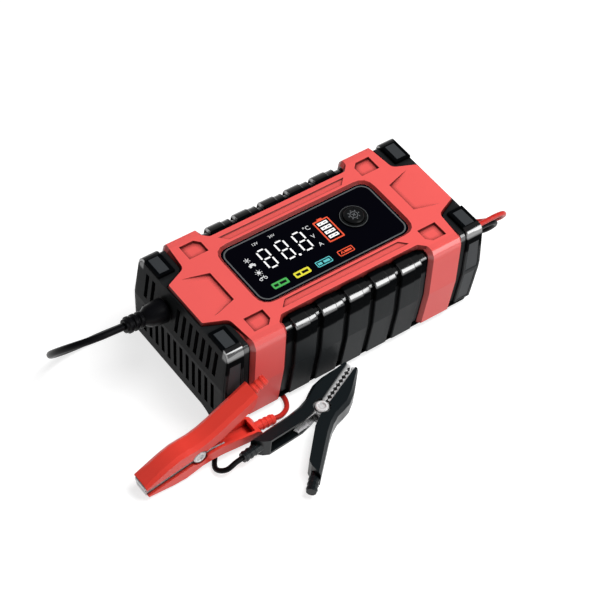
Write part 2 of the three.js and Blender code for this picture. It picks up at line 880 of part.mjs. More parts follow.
// ---- Strain reliefs -----------------------------------------------------------------
// Profiles run outwards from the inside of the end wall: neck, flange, cone, rings.
function reliefProfile({ radius, length, tip, rings, ringStep }) {
  const inside = capTopEdge - capWall - 1.5;
  const face = capCrease + gap;
  const profile = [
    [0, inside],
    [glandNeck, inside],
    [glandNeck, face],
    [radius, face],
    [radius, face + 4],
    [radius * 0.86, face + length * 0.4],
    [tip + 0.6, face + length - rings * ringStep - 2],
  ];
  for (let i = 0; i < rings; i++) {
    const at = face + length - (rings - i) * ringStep;
    profile.push([tip, at - 0.4], [tip + 1, at], [tip + 1, at + ringStep * 0.5], [tip, at + ringStep * 0.6]);
  }
  profile.push([tip, face + length], [0, face + length]);
  return profile;
}
const mainsRelief = { radius: mainsGland.radius, length: 28, tip: 4.4, rings: 3, ringStep: 4, tilt: 4.8 };
const outputRelief = { radius: outputGland.radius, length: 12, tip: 4, rings: 2, ringStep: 3, tilt: 0 };

function relief(spec, side, gland) {
  const profile = reliefProfile(spec);
  const body = turned(profile, "x", V(0, 0, 0), 16);
  const facing = (side > 0 ? body : body.mirror([1, 0, 0])).translate([-side * capCrease, 0, 0]);
  return facing.rotate([0, -side * spec.tilt, 0]).translate([side * capCrease, gland.y, gland.z]);
}
piece("mains_strain_relief", relief(mainsRelief, -1, mainsGland), blackRubber);
piece("output_strain_relief", relief(outputRelief, 1, outputGland), blackRubber);

// ---- Battery clamps -----------------------------------------------------------------
// Each clamp is drawn in its own frame: u runs from the pivot to the handles, v from the
// fixed half to the moving half, w along the rivet. The moving half is drawn first and
// the fixed half is its mirror image.
const shellOutline = [
  [-41, 3.2],
  [-41, 5.5, 0.8],
  [-30.5, 9.6, 1.8],
  [-22, 12.6, 2.3],
  [-13, 14.3, 2.5],
  [-6, 13.6, 2.5],
  [0, 12.6, 2.3],
  [8, 13.3, 2.3],
  [17, 15.6, 2.3],
  [36, 22, 2.3],
  [49, 26.2, 1.9],
  [46.4, 17.6],
  [43.5, 14.2],
  [17, 4.2],
  [7, 2.6],
];
const shellPocket = [
  [-43, -1],
  [-43, 5.2],
  [-40, 5.2],
  [-8, 7.2],
  [0, 8.6],
  [17, 12.4],
  [36, 19.2],
  [42.6, 21.4],
  [43.2, -1],
];
const pocketHalf = jawHalf + clampGap;
const pivotRecess = 6.1;
const boot = { angle: 18, from: [48, 21.5], length: 13, radius: 3.5, ring: 3.9, rings: 3 };
const bootAxis = [
  Math.cos(THREE.MathUtils.degToRad(boot.angle)),
  Math.sin(THREE.MathUtils.degToRad(boot.angle)),
];
const alongW = (outline, levels) =>
  loft(levels.map(([w, inset]) => outline.map(([u, v, edge = 0]) => V(u, v - edge * inset, w))));

function clampShell() {
  const shell = alongW(shellOutline, [
    [-clampHalf, 1],
    [2.6 - clampHalf, 0],
    [clampHalf - 2.6, 0],
    [clampHalf, 1],
  ]);
  const { from, length, radius, ring, rings } = boot;
  const profile = [
    [0, -3],
    [radius, -3],
  ];
  for (let i = 0; i < rings; i++) {
    const at = 2 + i * 3.8;
    profile.push([radius, at], [ring, at + 0.4], [ring, at + 1.8], [radius, at + 2.2]);
  }
  profile.push([radius, length], [0, length]);
  const sleeve = turned(profile, "y", V(0, 0, 0), 12)
    .rotate([0, 0, boot.angle - 90])
    .translate([from[0], from[1], 0]);
  return cut(
    shell.add(sleeve),
    alongW(shellPocket, [
      [-pocketHalf, 0],
      [pocketHalf, 0],
    ]),
    bar("z", pivotRecess, V(0, 0, -clampHalf - 1), clampThickness + 2, 20),
  );
}

const teeth = { first: -41, pitch: 4, count: 8, depth: 1.2, line: 0.4 };
const earRadius = 5.6;
const earThickness = 1;
function clampJaw(earOuter) {
  const { first, pitch, count, depth, line } = teeth;
  const nose = [[-42, 4.6], [-42, line + 0.5], [-41.5, line]];
  for (let i = 0; i < count; i++) {
    const u = first + i * pitch;
    nose.push([u + 0.6, line], [u + 2, line + depth], [u + 2.6, line + depth], [u + 4, line]);
  }
  nose.push([-7.4, line], [-7.4, 6.6], [-39.6, 4.9]);
  let jaw = alongW(nose, [
    [-jawHalf, 0],
    [jawHalf, 0],
  ]);
  const strip = [[-9, 0.6], [-9, 6.2], [0, 7.4], [20, 10], [20, 5.8], [6, 1.6]];
  for (const w of [earOuter - earThickness, -earOuter]) {
    jaw = jaw
      .add(alongW(strip, [[w, 0], [w + earThickness, 0]]))
      .add(bar("z", earRadius, V(0, 0, w), earThickness, 18));
  }
  return cut(jaw, bar("z", pivotBore, V(0, 0, -jawHalf - 1), 2 * jawHalf + 2, 12));
}

const rivet = turned(
  [
    [0, -clampHalf + 0.2],
    [rivetHead - 0.8, -clampHalf + 0.2],
    [rivetHead, -clampHalf + 0.8],
    [rivetHead, -jawHalf - clampGap],
    [rivetRadius - 0.1, -jawHalf - clampGap],
    [rivetRadius - 0.1, jawHalf + clampGap],
    [rivetHead, jawHalf + clampGap],
    [rivetHead, clampHalf - 0.8],
    [rivetHead - 0.8, clampHalf - 0.2],
    [0, clampHalf - 0.2],
  ],
  "z",
  V(0, 0, 0),
  20,
);

// A torsion spring: a leg in each handle and a coil round the rivet.
const springWire = 0.9;
const springCoil = { radius: 3.5, turns: 2.44, pitch: 1.6, leg: [18, 7.4] };
class SpringCurve extends THREE.Curve {
  getPoint(t, target = new THREE.Vector3()) {
    const { radius, turns, pitch, leg } = springCoil;
    const reach = Math.hypot(...leg);
    const start = Math.atan2(leg[1], leg[0]) + Math.acos(radius / reach);
    const legLength = Math.sqrt(reach ** 2 - radius ** 2);
    const coilLength = turns * 2 * Math.PI * radius;
    const at = t * (2 * legLength + coilLength);
    const end = start + turns * 2 * Math.PI;
    const half = (turns * pitch) / 2;
    const inLeg = (angle, distance, w, turn) =>
      target.set(
        radius * Math.cos(angle) + turn * distance * -Math.sin(angle),
        radius * Math.sin(angle) + turn * distance * Math.cos(angle),
        w,
      );
    if (at < legLength) return inLeg(start, legLength - at, -half, -1);
    if (at > legLength + coilLength) return inLeg(end, at - legLength - coilLength, half, 1);
    const part = (at - legLength) / coilLength;
    const angle = start + part * turns * 2 * Math.PI;
    return target.set(radius * Math.cos(angle), radius * Math.sin(angle), -half + part * 2 * half);
  }
}
const spring = tube(new SpringCurve(), springWire / 2, 32, 5);

const fixedHalf = (manifold) => manifold.mirror([0, 1, 0]);
const shellHalf = clampShell();

// Where a clamp's fixed sleeve ends in the charger's frame, and which way it points.
function sleeveEnd(frame) {
  const { from, length } = boot;
  const end = V(from[0] + bootAxis[0] * length, -from[1] - bootAxis[1] * length, 0);
  const axis = V(bootAxis[0], -bootAxis[1], 0).transformDirection(frame);
  return { end: end.multiplyScalar(clampScale).applyMatrix4(frame), axis };
}

function buildClamp(colour, material, pivot, along, across) {
  const frame = new THREE.Matrix4().makeBasis(along, across, along.clone().cross(across));
  frame.setPosition(pivot);
  const clamp = new THREE.Group();
  clamp.name = `${colour}_clamp`;
  clamp.applyMatrix4(frame);
  charger.add(clamp);
  const put = (name, shape, finishOf) => {
    const geometry = shape.isBufferGeometry ? shape.clone() : geometryOf(shape);
    geometry.scale(clampScale, clampScale, clampScale);
    piece(`${colour}_clamp_${name}`, geometry, finishOf, clamp);
  };
  put("moving_handle", shellHalf, material);
  put("fixed_handle", fixedHalf(shellHalf), material);
  put("moving_jaw", clampJaw(jawHalf - earThickness - clampGap), steel);
  put("fixed_jaw", fixedHalf(clampJaw(jawHalf)), steel);
  put("rivet", rivet, steel);
  put("spring", spring, steel);
  return sleeveEnd(frame);
}

// The black clamp lies flat on the floor in front of the case.
const blackTurn = THREE.MathUtils.degToRad(-155.4);
const blackPivot = V(-41.2, -71.6, clampHalf * clampScale + 0.02);
const blackSleeve = buildClamp(
  "black",
  blackRubber,
  blackPivot,
  V(Math.cos(blackTurn), Math.sin(blackTurn), 0),
  V(-Math.sin(blackTurn), Math.cos(blackTurn), 0),
);

// The red clamp stands on the belly and the sleeve of its fixed half.
const redTilt = THREE.MathUtils.degToRad(11.75);
const redPivot = V(-126, -57.9, 16.86 * clampScale + 0.02);
const redSleeve = buildClamp(
  "red",
  redRubber,
  redPivot,
  V(Math.cos(redTilt), 0, Math.sin(redTilt)),
  V(-Math.sin(redTilt), 0, Math.cos(redTilt)),
);

// ---- Leads --------------------------------------------------------------------------
const curveThrough = (points) =>
  new THREE.CatmullRomCurve3(points.map((p) => V(...p)), false, "centripetal");

const mainsRadius = mainsDiameter / 2;
const hank = { x: -16, halfRun: 45, fold: 13.9, shrink: 0.2, loops: 2, nearY: 53, lift: 1.4 };
const hankWaistY = hank.nearY + hank.fold; // where the tie draws the runs together
const hankLayer = mainsDiameter + 0.5;
const mainsFloor = mainsRadius + 0.1;
const hankLevel = (loop) => mainsFloor + loop * hankLayer;

// Loops laid on each other: each runs right, folds, runs back left and climbs a layer.
function hankPath() {
  const points = [];
  const { x, halfRun, nearY, lift } = hank;
  const perRun = 12;
  const perFold = 6;
  const pinch = (t) => Math.exp(-((t / 0.42) ** 2));
  for (let loop = 0; loop <= hank.loops; loop++) {
    const z = hankLevel(loop);
    const fold = hank.fold - loop * hank.shrink;
    const centre = nearY + fold;
    const onRun = (t, side, height) => {
      const open = centre + side * fold;
      const tied = hankWaistY + side * (mainsRadius + 0.3);
      points.push([x + t * halfRun, open + (tied - open) * pinch(t), height + lift * pinch(t)]);
    };
    const last = loop === hank.loops;
    const runPoints = last ? perRun - 1 : perRun;
    for (let i = 0; i < runPoints; i++) onRun(-1 + (2 * i) / perRun, -1, z);
    if (last) break;
    for (let i = 0; i < perFold; i++) {
      const a = (i / perFold) * Math.PI;
      points.push([x + halfRun + fold * Math.sin(a), centre - fold * Math.cos(a), z]);
    }
    const climb = (part) => z + hankLayer * THREE.MathUtils.smoothstep(part, 0, 1);
    for (let i = 0; i < perRun; i++) {
      const t = 1 - (2 * i) / perRun;
      onRun(t, 1, climb((-t - 0.3) / 1.5));
    }
    const next = fold - hank.shrink;
    for (let i = 0; i < perFold; i++) {
      const a = (i / perFold) * Math.PI;
      const radius = fold + ((next - fold) * i) / perFold;
      points.push([
        x - halfRun - radius * Math.sin(a),
        nearY + radius + radius * Math.cos(a) + (1 - i / perFold) * (fold - radius),
        climb(0.47 + (0.53 * i) / perFold),
      ]);
    }
  }
  return points;
}

const reliefEnd = capCrease + gap + mainsRelief.length;
const reliefRise = (reliefEnd - capCrease) * Math.sin(THREE.MathUtils.degToRad(mainsRelief.tilt));
const leadStart = { x: -reliefEnd - 0.2, y: mainsGland.y, z: mainsGland.z + reliefRise };
const hankStart = hank.x - hank.halfRun;
const mainsRoute = [
  [leadStart.x, leadStart.y, leadStart.z],
  [leadStart.x - 8, leadStart.y, leadStart.z + 0.67],
  [leadStart.x - 16, leadStart.y + 0.2, leadStart.z + 1.1],
  [leadStart.x - 25, leadStart.y + 2, leadStart.z + 0.2],
  [leadStart.x - 32.5, leadStart.y + 6.5, leadStart.z - 4],
  [leadStart.x - 37, leadStart.y + 13, leadStart.z - 11.5],
  [leadStart.x - 37.5, leadStart.y + 20.5, leadStart.z - 21.5],
  [leadStart.x - 34, leadStart.y + 28, leadStart.z - 32.5],
  [leadStart.x - 26.5, leadStart.y + 34, leadStart.z - 42.5],
  [leadStart.x - 15.5, leadStart.y + 38, leadStart.z - 49.8],
  [leadStart.x - 3.5, leadStart.y + 39.5, leadStart.z - 53],
  [leadStart.x + 10, leadStart.y + 39.2, mainsFloor],
  [leadStart.x + 23, leadStart.y + 38.2, mainsFloor],
  [hankStart - 31, hank.nearY + 0.2, mainsFloor],
  [hankStart - 17, hank.nearY, mainsFloor],
  [hankStart - 5, hank.nearY, mainsFloor],
  [hankStart - gap, hank.nearY, mainsFloor],
];
piece("mains_lead", tube(curveThrough(mainsRoute), mainsRadius, 30, 8), blackRubber);

// the two-pin plug stands on its narrow edge behind the case
const plug = { x: 38.5, y: 58.6, width: 35.3, depth: 13.7, length: 36, neck: 10, pinPitch: 19 };
const plugZ = plug.width / 2 + 0.1;
const tailStart = hank.x + hank.halfRun * (2 / 3);
const hankRoute = [
  ...hankPath(),
  [tailStart + 8, hank.nearY + 1.6, hankLevel(hank.loops) + 1.3],
  [tailStart + 16, plug.y - 1.3, plugZ - 1.3],
  [plug.x - 3, plug.y, plugZ],
  [plug.x - gap, plug.y, plugZ],
];
// the least space between parts of the coil that lie beside each other
const hankLine = curveThrough(hankRoute);
const hankPoints = hankLine.getSpacedPoints(500);
const hankStep = hankLine.getLength() / 500;
let hankGap = Infinity;
hankPoints.forEach((a, i) => {
  for (let j = i + Math.ceil(20 / hankStep); j < hankPoints.length; j++) {
    hankGap = Math.min(hankGap, a.distanceTo(hankPoints[j]) - mainsDiameter);
  }
});
console.log("mains_hank: least self-gap", hankGap.toFixed(2), "mm, length", hankLine.getLength().toFixed(0), "mm");
piece("mains_hank", tube(hankLine, mainsRadius, 100, 6), blackRubber);

function makeTie() {
  const low = 1.15;
  const high = hankLevel(hank.loops) + hank.lift + mainsRadius + gap;
  const halfY = 2 * mainsRadius + 0.3 + gap + 0.5;
  const band = (grow) =>
    roundedOutline(
      rectangle(halfY + grow, (high - low) / 2 + grow, 1.4 + grow, hankWaistY, (high + low) / 2),
      4,
    ).map((p) => [p.x, p.y]);
  const ring = (grow, half) =>
    loftAlongX([
      [hank.x - half, band(grow)],
      [hank.x + half, band(grow)],
    ]);
  return cut(ring(0.9, 3.5), ring(0, 5));
}
piece("hank_tie", makeTie(), blackRubber);

function makePlug() {
  const { x, y, width, depth, length, neck } = plug;
  const half = width / 2;
  const outline = [
    [x + neck - 1, -4.6],
    [x + neck + length * 0.42, -half + 1],
    [x + neck + length - 8, -half],
    [x + neck + length, -half],
    [x + neck + length, half],
    [x + neck + length - 8, half],
    [x + neck + length * 0.42, half - 1],
    [x + neck - 1, 4.6],
  ];
  const centreX = x + neck + length / 2;
  const ring = (level, inset) =>
    outline.map(([px, pz]) =>
      V(px + Math.sign(centreX - px) * inset, y + level, plugZ + pz - Math.sign(pz) * inset),
    );
  let body = loft([
    ring(-depth / 2, 1.2),
    ring(-depth / 2 + 1.2, 0),
    ring(depth / 2 - 1.2, 0),
    ring(depth / 2, 1.2),
  ]);
  body = body.add(bar("x", 3.2, V(x, y, plugZ), neck + 6, 16, 4.6));
  for (const side of [-1, 1]) {
    const z = plugZ + (side * plug.pinPitch) / 2;
    body = cut(body, bar("x", 2 + gap, V(x + neck + length - 8, y, z), 9, 14));
  }
  return body;
}
piece("mains_plug", makePlug(), blackPlastic);
for (const [name, side] of [
  ["lower", -1],
  ["upper", 1],
]) {
  const z = plugZ + (side * plug.pinPitch) / 2;
  const start = plug.x + plug.neck + plug.length - 8 + gap;
  const pin = turned(
    [
      [0, 0],
      [2, 0],
      [2, 25.7],
      [1.2, 26.7],
      [0, 26.7],
    ],
    "x",
    V(start, plug.y, z),
    14,
  );
  piece(`${name}_plug_pin`, pin, brass);
}

// Both output wires leave together, drop beside the case and run under its rear edge.
const wireRadius = wireDiameter / 2;
const wireFloor = wireRadius + 0.02;
const wireStart = capCrease + gap + outputRelief.length + gap;
const wireY = outputGland.y;
const sleeveRun = ({ end, axis }, distances) =>
  distances.map((distance) => end.clone().addScaledVector(axis, distance).toArray());

const redRoute = [
  [wireStart, wireY, outputGland.z + wirePitch / 2],
  [124, wireY, outputGland.z + wirePitch / 2],
  [131, wireY, outputGland.z + wirePitch / 2],
  [137, -25.5, 41],
  [140, -23.5, 36],
  [139.5, -19.5, 29.5],
  [135.5, -13, 23.5],
  [129, -4, 18],
  [121.5, 6, 13],
  [115, 17, 7.5],
  [110.5, 28, 3.2],
  [105.5, 37, wireFloor],
  [98, 43, wireFloor],
  [88, 44.6, wireFloor],
  [60, 44.6, wireFloor],
  [30, 44.6, wireFloor],
  [0, 44.6, wireFloor],
  [-25, 44, wireFloor],
  [-41, 39.5, wireFloor],
  [-49, 30, wireFloor],
  [-49, 17, wireFloor],
  [-50, 2, wireFloor],
  [-50.5, -16, wireFloor],
  [-50.5, -31, wireFloor],
  [-50.5, -42, wireFloor],
  [-51.3, -49, wireFloor],
  [-54.6, -54.6, wireFloor + 0.6],
  ...sleeveRun(redSleeve, [6, gap]),
];
piece("output_wire_red", tube(curveThrough(redRoute), wireRadius, 50, 8), redRubber);

const blackRoute = [
  [wireStart, wireY, outputGland.z - wirePitch / 2],
  [124, wireY, outputGland.z - wirePitch / 2],
  [129, -25.9, 37.8],
  [132, -25, 34],
  [132, -22.5, 28.5],
  [130, -18, 22],
  [127.5, -11, 15.5],
  [125, -1, 9.5],
  [122.5, 11, 4.5],
  [119.5, 23, 2],
  [114.5, 34, wireFloor],
  [107, 43, wireFloor],
  [96, 48, wireFloor],
  [85, 48.5, wireFloor],
  [50, 48.5, wireFloor],
  [0, 48.5, wireFloor],
  [-50, 48.5, wireFloor],
  [-76, 48.2, wireFloor],
  [-87, 45.6, wireFloor],
  [-93, 38.5, wireFloor],
  [-94, 28, wireFloor],
  [-94, 5, wireFloor],
  [-94, -20, wireFloor],
  [-95.5, -33, wireFloor],
  [-99, -43, wireFloor],
  [-104.5, -50.5, wireFloor],
  [-110, -58, wireFloor],
  [-115.9, -65.6, wireFloor + 0.1],
  [-117.1, -69, 2.6],
  [-116.3, -72.4, 4.3],
  [-113.2, -74.7, 5.8],
  ...sleeveRun(blackSleeve, [5, gap]),
];
piece("output_wire_black", tube(curveThrough(blackRoute), wireRadius, 52, 8), blackRubber);

export default charger;
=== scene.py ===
import bpy
import bmesh
import json
import math
from mathutils import Matrix, Vector


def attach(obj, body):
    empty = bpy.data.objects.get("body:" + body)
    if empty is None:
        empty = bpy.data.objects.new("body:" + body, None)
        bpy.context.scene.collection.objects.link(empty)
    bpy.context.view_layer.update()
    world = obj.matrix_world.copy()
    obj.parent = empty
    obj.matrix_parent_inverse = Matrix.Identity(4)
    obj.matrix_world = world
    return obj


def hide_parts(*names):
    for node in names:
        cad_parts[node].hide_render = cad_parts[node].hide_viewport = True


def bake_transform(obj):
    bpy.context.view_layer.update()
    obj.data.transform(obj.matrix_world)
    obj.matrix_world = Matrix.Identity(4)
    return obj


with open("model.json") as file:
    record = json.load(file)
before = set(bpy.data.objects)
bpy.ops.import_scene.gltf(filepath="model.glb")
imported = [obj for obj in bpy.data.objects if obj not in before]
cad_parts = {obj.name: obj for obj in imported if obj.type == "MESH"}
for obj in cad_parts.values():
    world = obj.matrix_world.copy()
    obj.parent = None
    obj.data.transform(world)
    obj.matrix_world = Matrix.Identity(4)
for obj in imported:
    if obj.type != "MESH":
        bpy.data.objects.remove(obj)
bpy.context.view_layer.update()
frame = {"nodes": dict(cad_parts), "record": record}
mm = 0.001
print("frame loaded")

# camera, fitted to the photograph
cameraView = {
    "place": (-0.55335, -0.62124, 0.96600),
    "azimuth": -41.40,
    "elevation": 48.81,
    "roll": 6.59,
    "lens": 119.86,
    "sensor": 36,
    "nearest": 0.05,
}


def addObject(name, data):
    made = bpy.data.objects.new(name, data)
    bpy.context.scene.collection.objects.link(made)
    return made


def turned(degrees, axis):
    return Matrix.Rotation(math.radians(degrees), 4, axis)


def addCamera():
    data = bpy.data.cameras.new("camera")
    data.lens = cameraView["lens"]
    data.sensor_width = cameraView["sensor"]
    data.clip_start = cameraView["nearest"]
    camera = addObject("camera", data)
    turn = (
        turned(cameraView["azimuth"], "Z")
        @ turned(90 - cameraView["elevation"], "X")
        @ turned(cameraView["roll"], "Z")
    )
    camera.matrix_world = Matrix.Translation(cameraView["place"]) @ turn
    bpy.context.scene.camera = camera


addCamera()

# cords: the same routes, in millimetres, as the model's own leads
cordMesh = {"bevelSteps": 5, "curveSteps": 6}
mainsCord = {"diameter": 4.6, "start": (-127.7, 16, 55.87), "floor": 2.4}
wireCord = {"diameter": 3.4, "floor": 1.72}
hank = {
    "x": -16,
    "nearY": 53,
    "halfRun": 45,
    "fold": 13.9,
    "shrink": 0.2,  # each loop's fold is this much smaller than the one below
    "loops": 2,
    "layerGap": 0.5,
    "lift": 1.4,
    "pinch": 0.42,  # how far along a run the tie draws it in
    "tieGap": 0.3,
    "climbStart": 0.3,
    "climbSpan": 1.5,
    "climbOnRun": 0.47,  # the share of a layer's climb that is done before the fold
    "runPoints": 12,
    "foldPoints": 6,
}
plugPlace = {"x": 38.5, "y": 58.6, "z": 17.75}
layerStep = mainsCord["diameter"] + hank["layerGap"]


def smoothStep(value):
    value = min(1, max(0, value))
    return value * value * (3 - 2 * value)


def hankLevel(loop):
    return mainsCord["floor"] + loop * layerStep


def hankPoints():
    points = []
    perRun, perFold = hank["runPoints"], hank["foldPoints"]
    waistY = hank["nearY"] + hank["fold"]
    for loop in range(hank["loops"] + 1):
        z = hankLevel(loop)
        fold = hank["fold"] - loop * hank["shrink"]
        centre = hank["nearY"] + fold
        last = loop == hank["loops"]

        def onRun(t, side, height):
            pinch = math.exp(-((t / hank["pinch"]) ** 2))
            openY = centre + side * fold
            tiedY = waistY + side * (mainsCord["diameter"] / 2 + hank["tieGap"])
            points.append((
                hank["x"] + t * hank["halfRun"],
                openY + (tiedY - openY) * pinch,
                height + hank["lift"] * pinch,
            ))

        for i in range(perRun - 1 if last else perRun):
            onRun(-1 + 2 * i / perRun, -1, z)
        if last:
            break
        for i in range(perFold):
            a = math.pi * i / perFold
            x = hank["x"] + hank["halfRun"] + fold * math.sin(a)
            points.append((x, centre - fold * math.cos(a), z))
        for i in range(perRun):
            t = 1 - 2 * i / perRun
            climb = smoothStep((-t - hank["climbStart"]) / hank["climbSpan"])
            onRun(t, 1, z + layerStep * climb)
        for i in range(perFold):
            a = math.pi * i / perFold
            radius = fold - hank["shrink"] * i / perFold
            climb = smoothStep(hank["climbOnRun"] + (1 - hank["climbOnRun"]) * i / perFold)
            points.append((
                hank["x"] - hank["halfRun"] - radius * math.sin(a),
                hank["nearY"] + radius + radius * math.cos(a) + (1 - i / perFold) * (fold - radius),
                z + layerStep * climb,
            ))
    return points


def mainsPoints():
    x, y, z = mainsCord["start"]
    floor = mainsCord["floor"]
    hankStart = hank["x"] - hank["halfRun"]
    tailStart = hank["x"] + hank["halfRun"] * 2 / 3
    return [
        (x, y, z),
        (x - 8, y, z + 0.67),
        (x - 16, y + 0.2, z + 1.1),
        (x - 25, y + 2, z + 0.2),
        (x - 32.5, y + 6.5, z - 4),
        (x - 37, y + 13, z - 11.5),
        (x - 37.5, y + 20.5, z - 21.5),
        (x - 34, y + 28, z - 32.5),
        (x - 26.5, y + 34, z - 42.5),
        (x - 15.5, y + 38, z - 49.8),
        (x - 3.5, y + 39.5, z - 53),
        (x + 10, y + 39.2, floor),
        (x + 23, y + 38.2, floor),
        (hankStart - 31, hank["nearY"] + 0.2, floor),
        (hankStart - 17, hank["nearY"], floor),
        (hankStart - 5, hank["nearY"], floor),
        *hankPoints(),
        (tailStart + 8, hank["nearY"] + 1.6, hankLevel(hank["loops"]) + 1.3),
        (tailStart + 16, plugPlace["y"] - 1.3, plugPlace["z"] - 1.3),
        (plugPlace["x"] - 3, plugPlace["y"], plugPlace["z"]),
        (plugPlace["x"] - 0.3, plugPlace["y"], plugPlace["z"]),
    ]


wireFloor = wireCord["floor"]
redWirePoints = [
    (111.8, -26, 42.95),
    (124, -26, 42.95),
    (131, -26, 42.95),
    (137, -25.5, 41),
    (139.93, -23.5, 36),
    (139.5, -19.5, 29.5),
    (135.5, -13, 23.5),
    (129, -4, 18),
    (121.5, 6, 13),
    (115, 17, 7.5),
    (110.5, 28, 3.2),
    (105.5, 37, wireFloor),
    (98, 43, wireFloor),
    (88, 44.6, wireFloor),
    (60, 44.6, wireFloor),
    (30, 44.6, wireFloor),
    (0, 44.6, wireFloor),
    (-25, 44, wireFloor),
    (-41, 39.5, wireFloor),
    (-49, 30, wireFloor),
    (-49, 17, wireFloor),
    (-50, 2, wireFloor),
    (-50.5, -16, wireFloor),
    (-50.5, -31, wireFloor),
    (-50.5, -42, wireFloor),
    (-51.3, -49, wireFloor),
    (-54.6, -54.6, wireFloor + 0.6),
    (-61.02, -57.9, 3.2),
    (-66.68, -57.9, 3.82),
]
blackWirePoints = [
    (111.8, -26, 39.05),
    (124, -26, 39.05),
    (129, -25.9, 37.8),
    (132, -25, 34),
    (132, -22.5, 28.5),
    (130, -18, 22),
    (127.5, -11, 15.5),
    (125, -1, 9.5),
    (122.5, 11, 4.5),
    (119.5, 23, 2),
    (114.5, 34, wireFloor),
    (107, 43, wireFloor),
    (96, 48, wireFloor),
    (85, 48.5, wireFloor),
    (50, 48.5, wireFloor),
    (0, 48.5, wireFloor),
    (-50, 48.5, wireFloor),
    (-76, 48.2, wireFloor),
    (-87, 45.6, wireFloor),
    (-93, 38.5, wireFloor),
    (-94, 28, wireFloor),
    (-94, 5, wireFloor),
    (-94, -20, wireFloor),
    (-95.5, -33, wireFloor),
    (-99, -43, wireFloor),
    (-104.5, -50.5, wireFloor),
    (-110, -58, wireFloor),
    (-115.9, -65.6, wireFloor + 0.1),
    (-117.1, -69, 2.6),
    (-116.3, -72.4, 4.3),
    (-113.2, -74.7, 5.8),
    (-106.3, -73.94, 6.91),
    (-101.63, -73.4, 6.91),
]


def cordCurve(name, points, diameter):
    points = [Vector(p) * mm for p in points]
    points = [2 * points[0] - points[1], *points, 2 * points[-1] - points[-2]]
    data = bpy.data.curves.new(name, "CURVE")
    data.dimensions = "3D"
    data.bevel_depth = 1  # each knot's own radius is the cord's
    data.bevel_resolution = cordMesh["bevelSteps"]
    data.resolution_u = cordMesh["curveSteps"]
    data.use_fill_caps = True
    spline = data.splines.new("BEZIER")
    spline.bezier_points.add(len(points) - 3)
    for i, knot in enumerate(spline.bezier_points, start=1):
        before, here, after = points[i - 1], points[i], points[i + 1]
        d0, d1 = (here - before).length ** 0.5, (after - here).length ** 0.5
        slope = (here - before) / d0 - (after - before) / (d0 + d1) + (after - here) / d1
        knot.handle_left_type = knot.handle_right_type = "FREE"
        knot.co = here
        knot.radius = diameter * mm / 2
        knot.handle_left = here - slope * d0 / 3
        knot.handle_right = here + slope * d1 / 3
    piece = addObject(name, data)
    bpy.context.view_layer.update()
    return piece


def layCord(name, points, cordSize, nodes):
    piece = cordCurve(name, points, cordSize["diameter"])
    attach(piece, "charger")
    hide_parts(*nodes)
    return piece


mainsCable = layCord(
    "mainsCable", mainsPoints(), mainsCord, ["mains_lead", "mains_hank"]
)
redWire = layCord("redOutputWire", redWirePoints, wireCord, ["output_wire_red"])
blackWire = layCord(
    "blackOutputWire", blackWirePoints, wireCord, ["output_wire_black"]
)
print("cords laid")

# materials
mouldedLook = {
    "grainDetail": 3,
    "grainDepth": 0.00003,
    "driftScale": 22,
    "driftDetail": 2,
    "driftSpread": (0.3, 0.7),
    "driftTint": (0.78, 0.76, 0.76, 1),
    # how far the painted shade in crevices reaches
    "creviceShadeReach": 0.0035,
}
metalLook = {
    "lines": (400, 4000, 4000),
    "lineDetail": 2,
    "lineBump": 0.1,
    "lineDepth": 0.00002,
    # the last two set the painted shade in the metal's crevices
    "creviceShadeReach": 0.003,
    "creviceShadeGamma": 1.6,
}
# samples for the painted shade in crevices
creviceShadeSamples = 6
# masks for the polished shoulders, and for the painted shade on steep walls and strap sides
shoulderAndWallShadeMask = {
    "shoulderY": (0.041, 0.042),  # the shoulders lie further out than this
    "steep": (0.85, 0.75),
    "strapSide": (0.45, 0.6),
    "strapSideShare": 0.6,
}
polish = {"roughness": 0.12, "ior": 3.0}


def feed(tree, node, inputs):
    # an input takes a plain value, or the socket that drives it
    for label, value in inputs.items():
        if isinstance(value, bpy.types.NodeSocket):
            tree.links.new(value, node.inputs[label])
        else:
            node.inputs[label].default_value = value


def addNode(tree, kind, inputs=None, **settings):
    node = tree.nodes.new("ShaderNode" + kind)
    for label, value in settings.items():
        setattr(node, label, value)
    feed(tree, node, inputs or {})
    return node


def mathNode(tree, operation, *values, **settings):
    node = addNode(tree, "Math", dict(enumerate(values)), operation=operation, **settings)
    return node.outputs["Value"]


def rangeNode(tree, value, fromMin=0, fromMax=1, toMin=0, toMax=1):
    limits = {"From Min": fromMin, "From Max": fromMax, "To Min": toMin, "To Max": toMax}
    return addNode(tree, "MapRange", {"Value": value, **limits}).outputs["Result"]


def colourMix(tree, factor, first, second, blend="MIX"):
    inputs = {"Factor": factor, "A": first, "B": second}
    return addNode(tree, "Mix", inputs, data_type="RGBA", blend_type=blend).outputs["Result"]


def objectPlace(tree):
    return addNode(tree, "TexCoord").outputs["Object"]


def split(tree, vector):
    return addNode(tree, "SeparateXYZ", {"Vector": vector}).outputs


def nodeGroup(name, inputs, outputs):
    group = bpy.data.node_groups.new(name, "ShaderNodeTree")
    for label, kind, value in inputs:
        socket = group.interface.new_socket(label, in_out="INPUT", socket_type="NodeSocket" + kind)
        socket.default_value = value
    for label, kind in outputs:
        group.interface.new_socket(label, in_out="OUTPUT", socket_type="NodeSocket" + kind)
    nodes = group.nodes
    return group, nodes.new("NodeGroupInput").outputs, nodes.new("NodeGroupOutput")


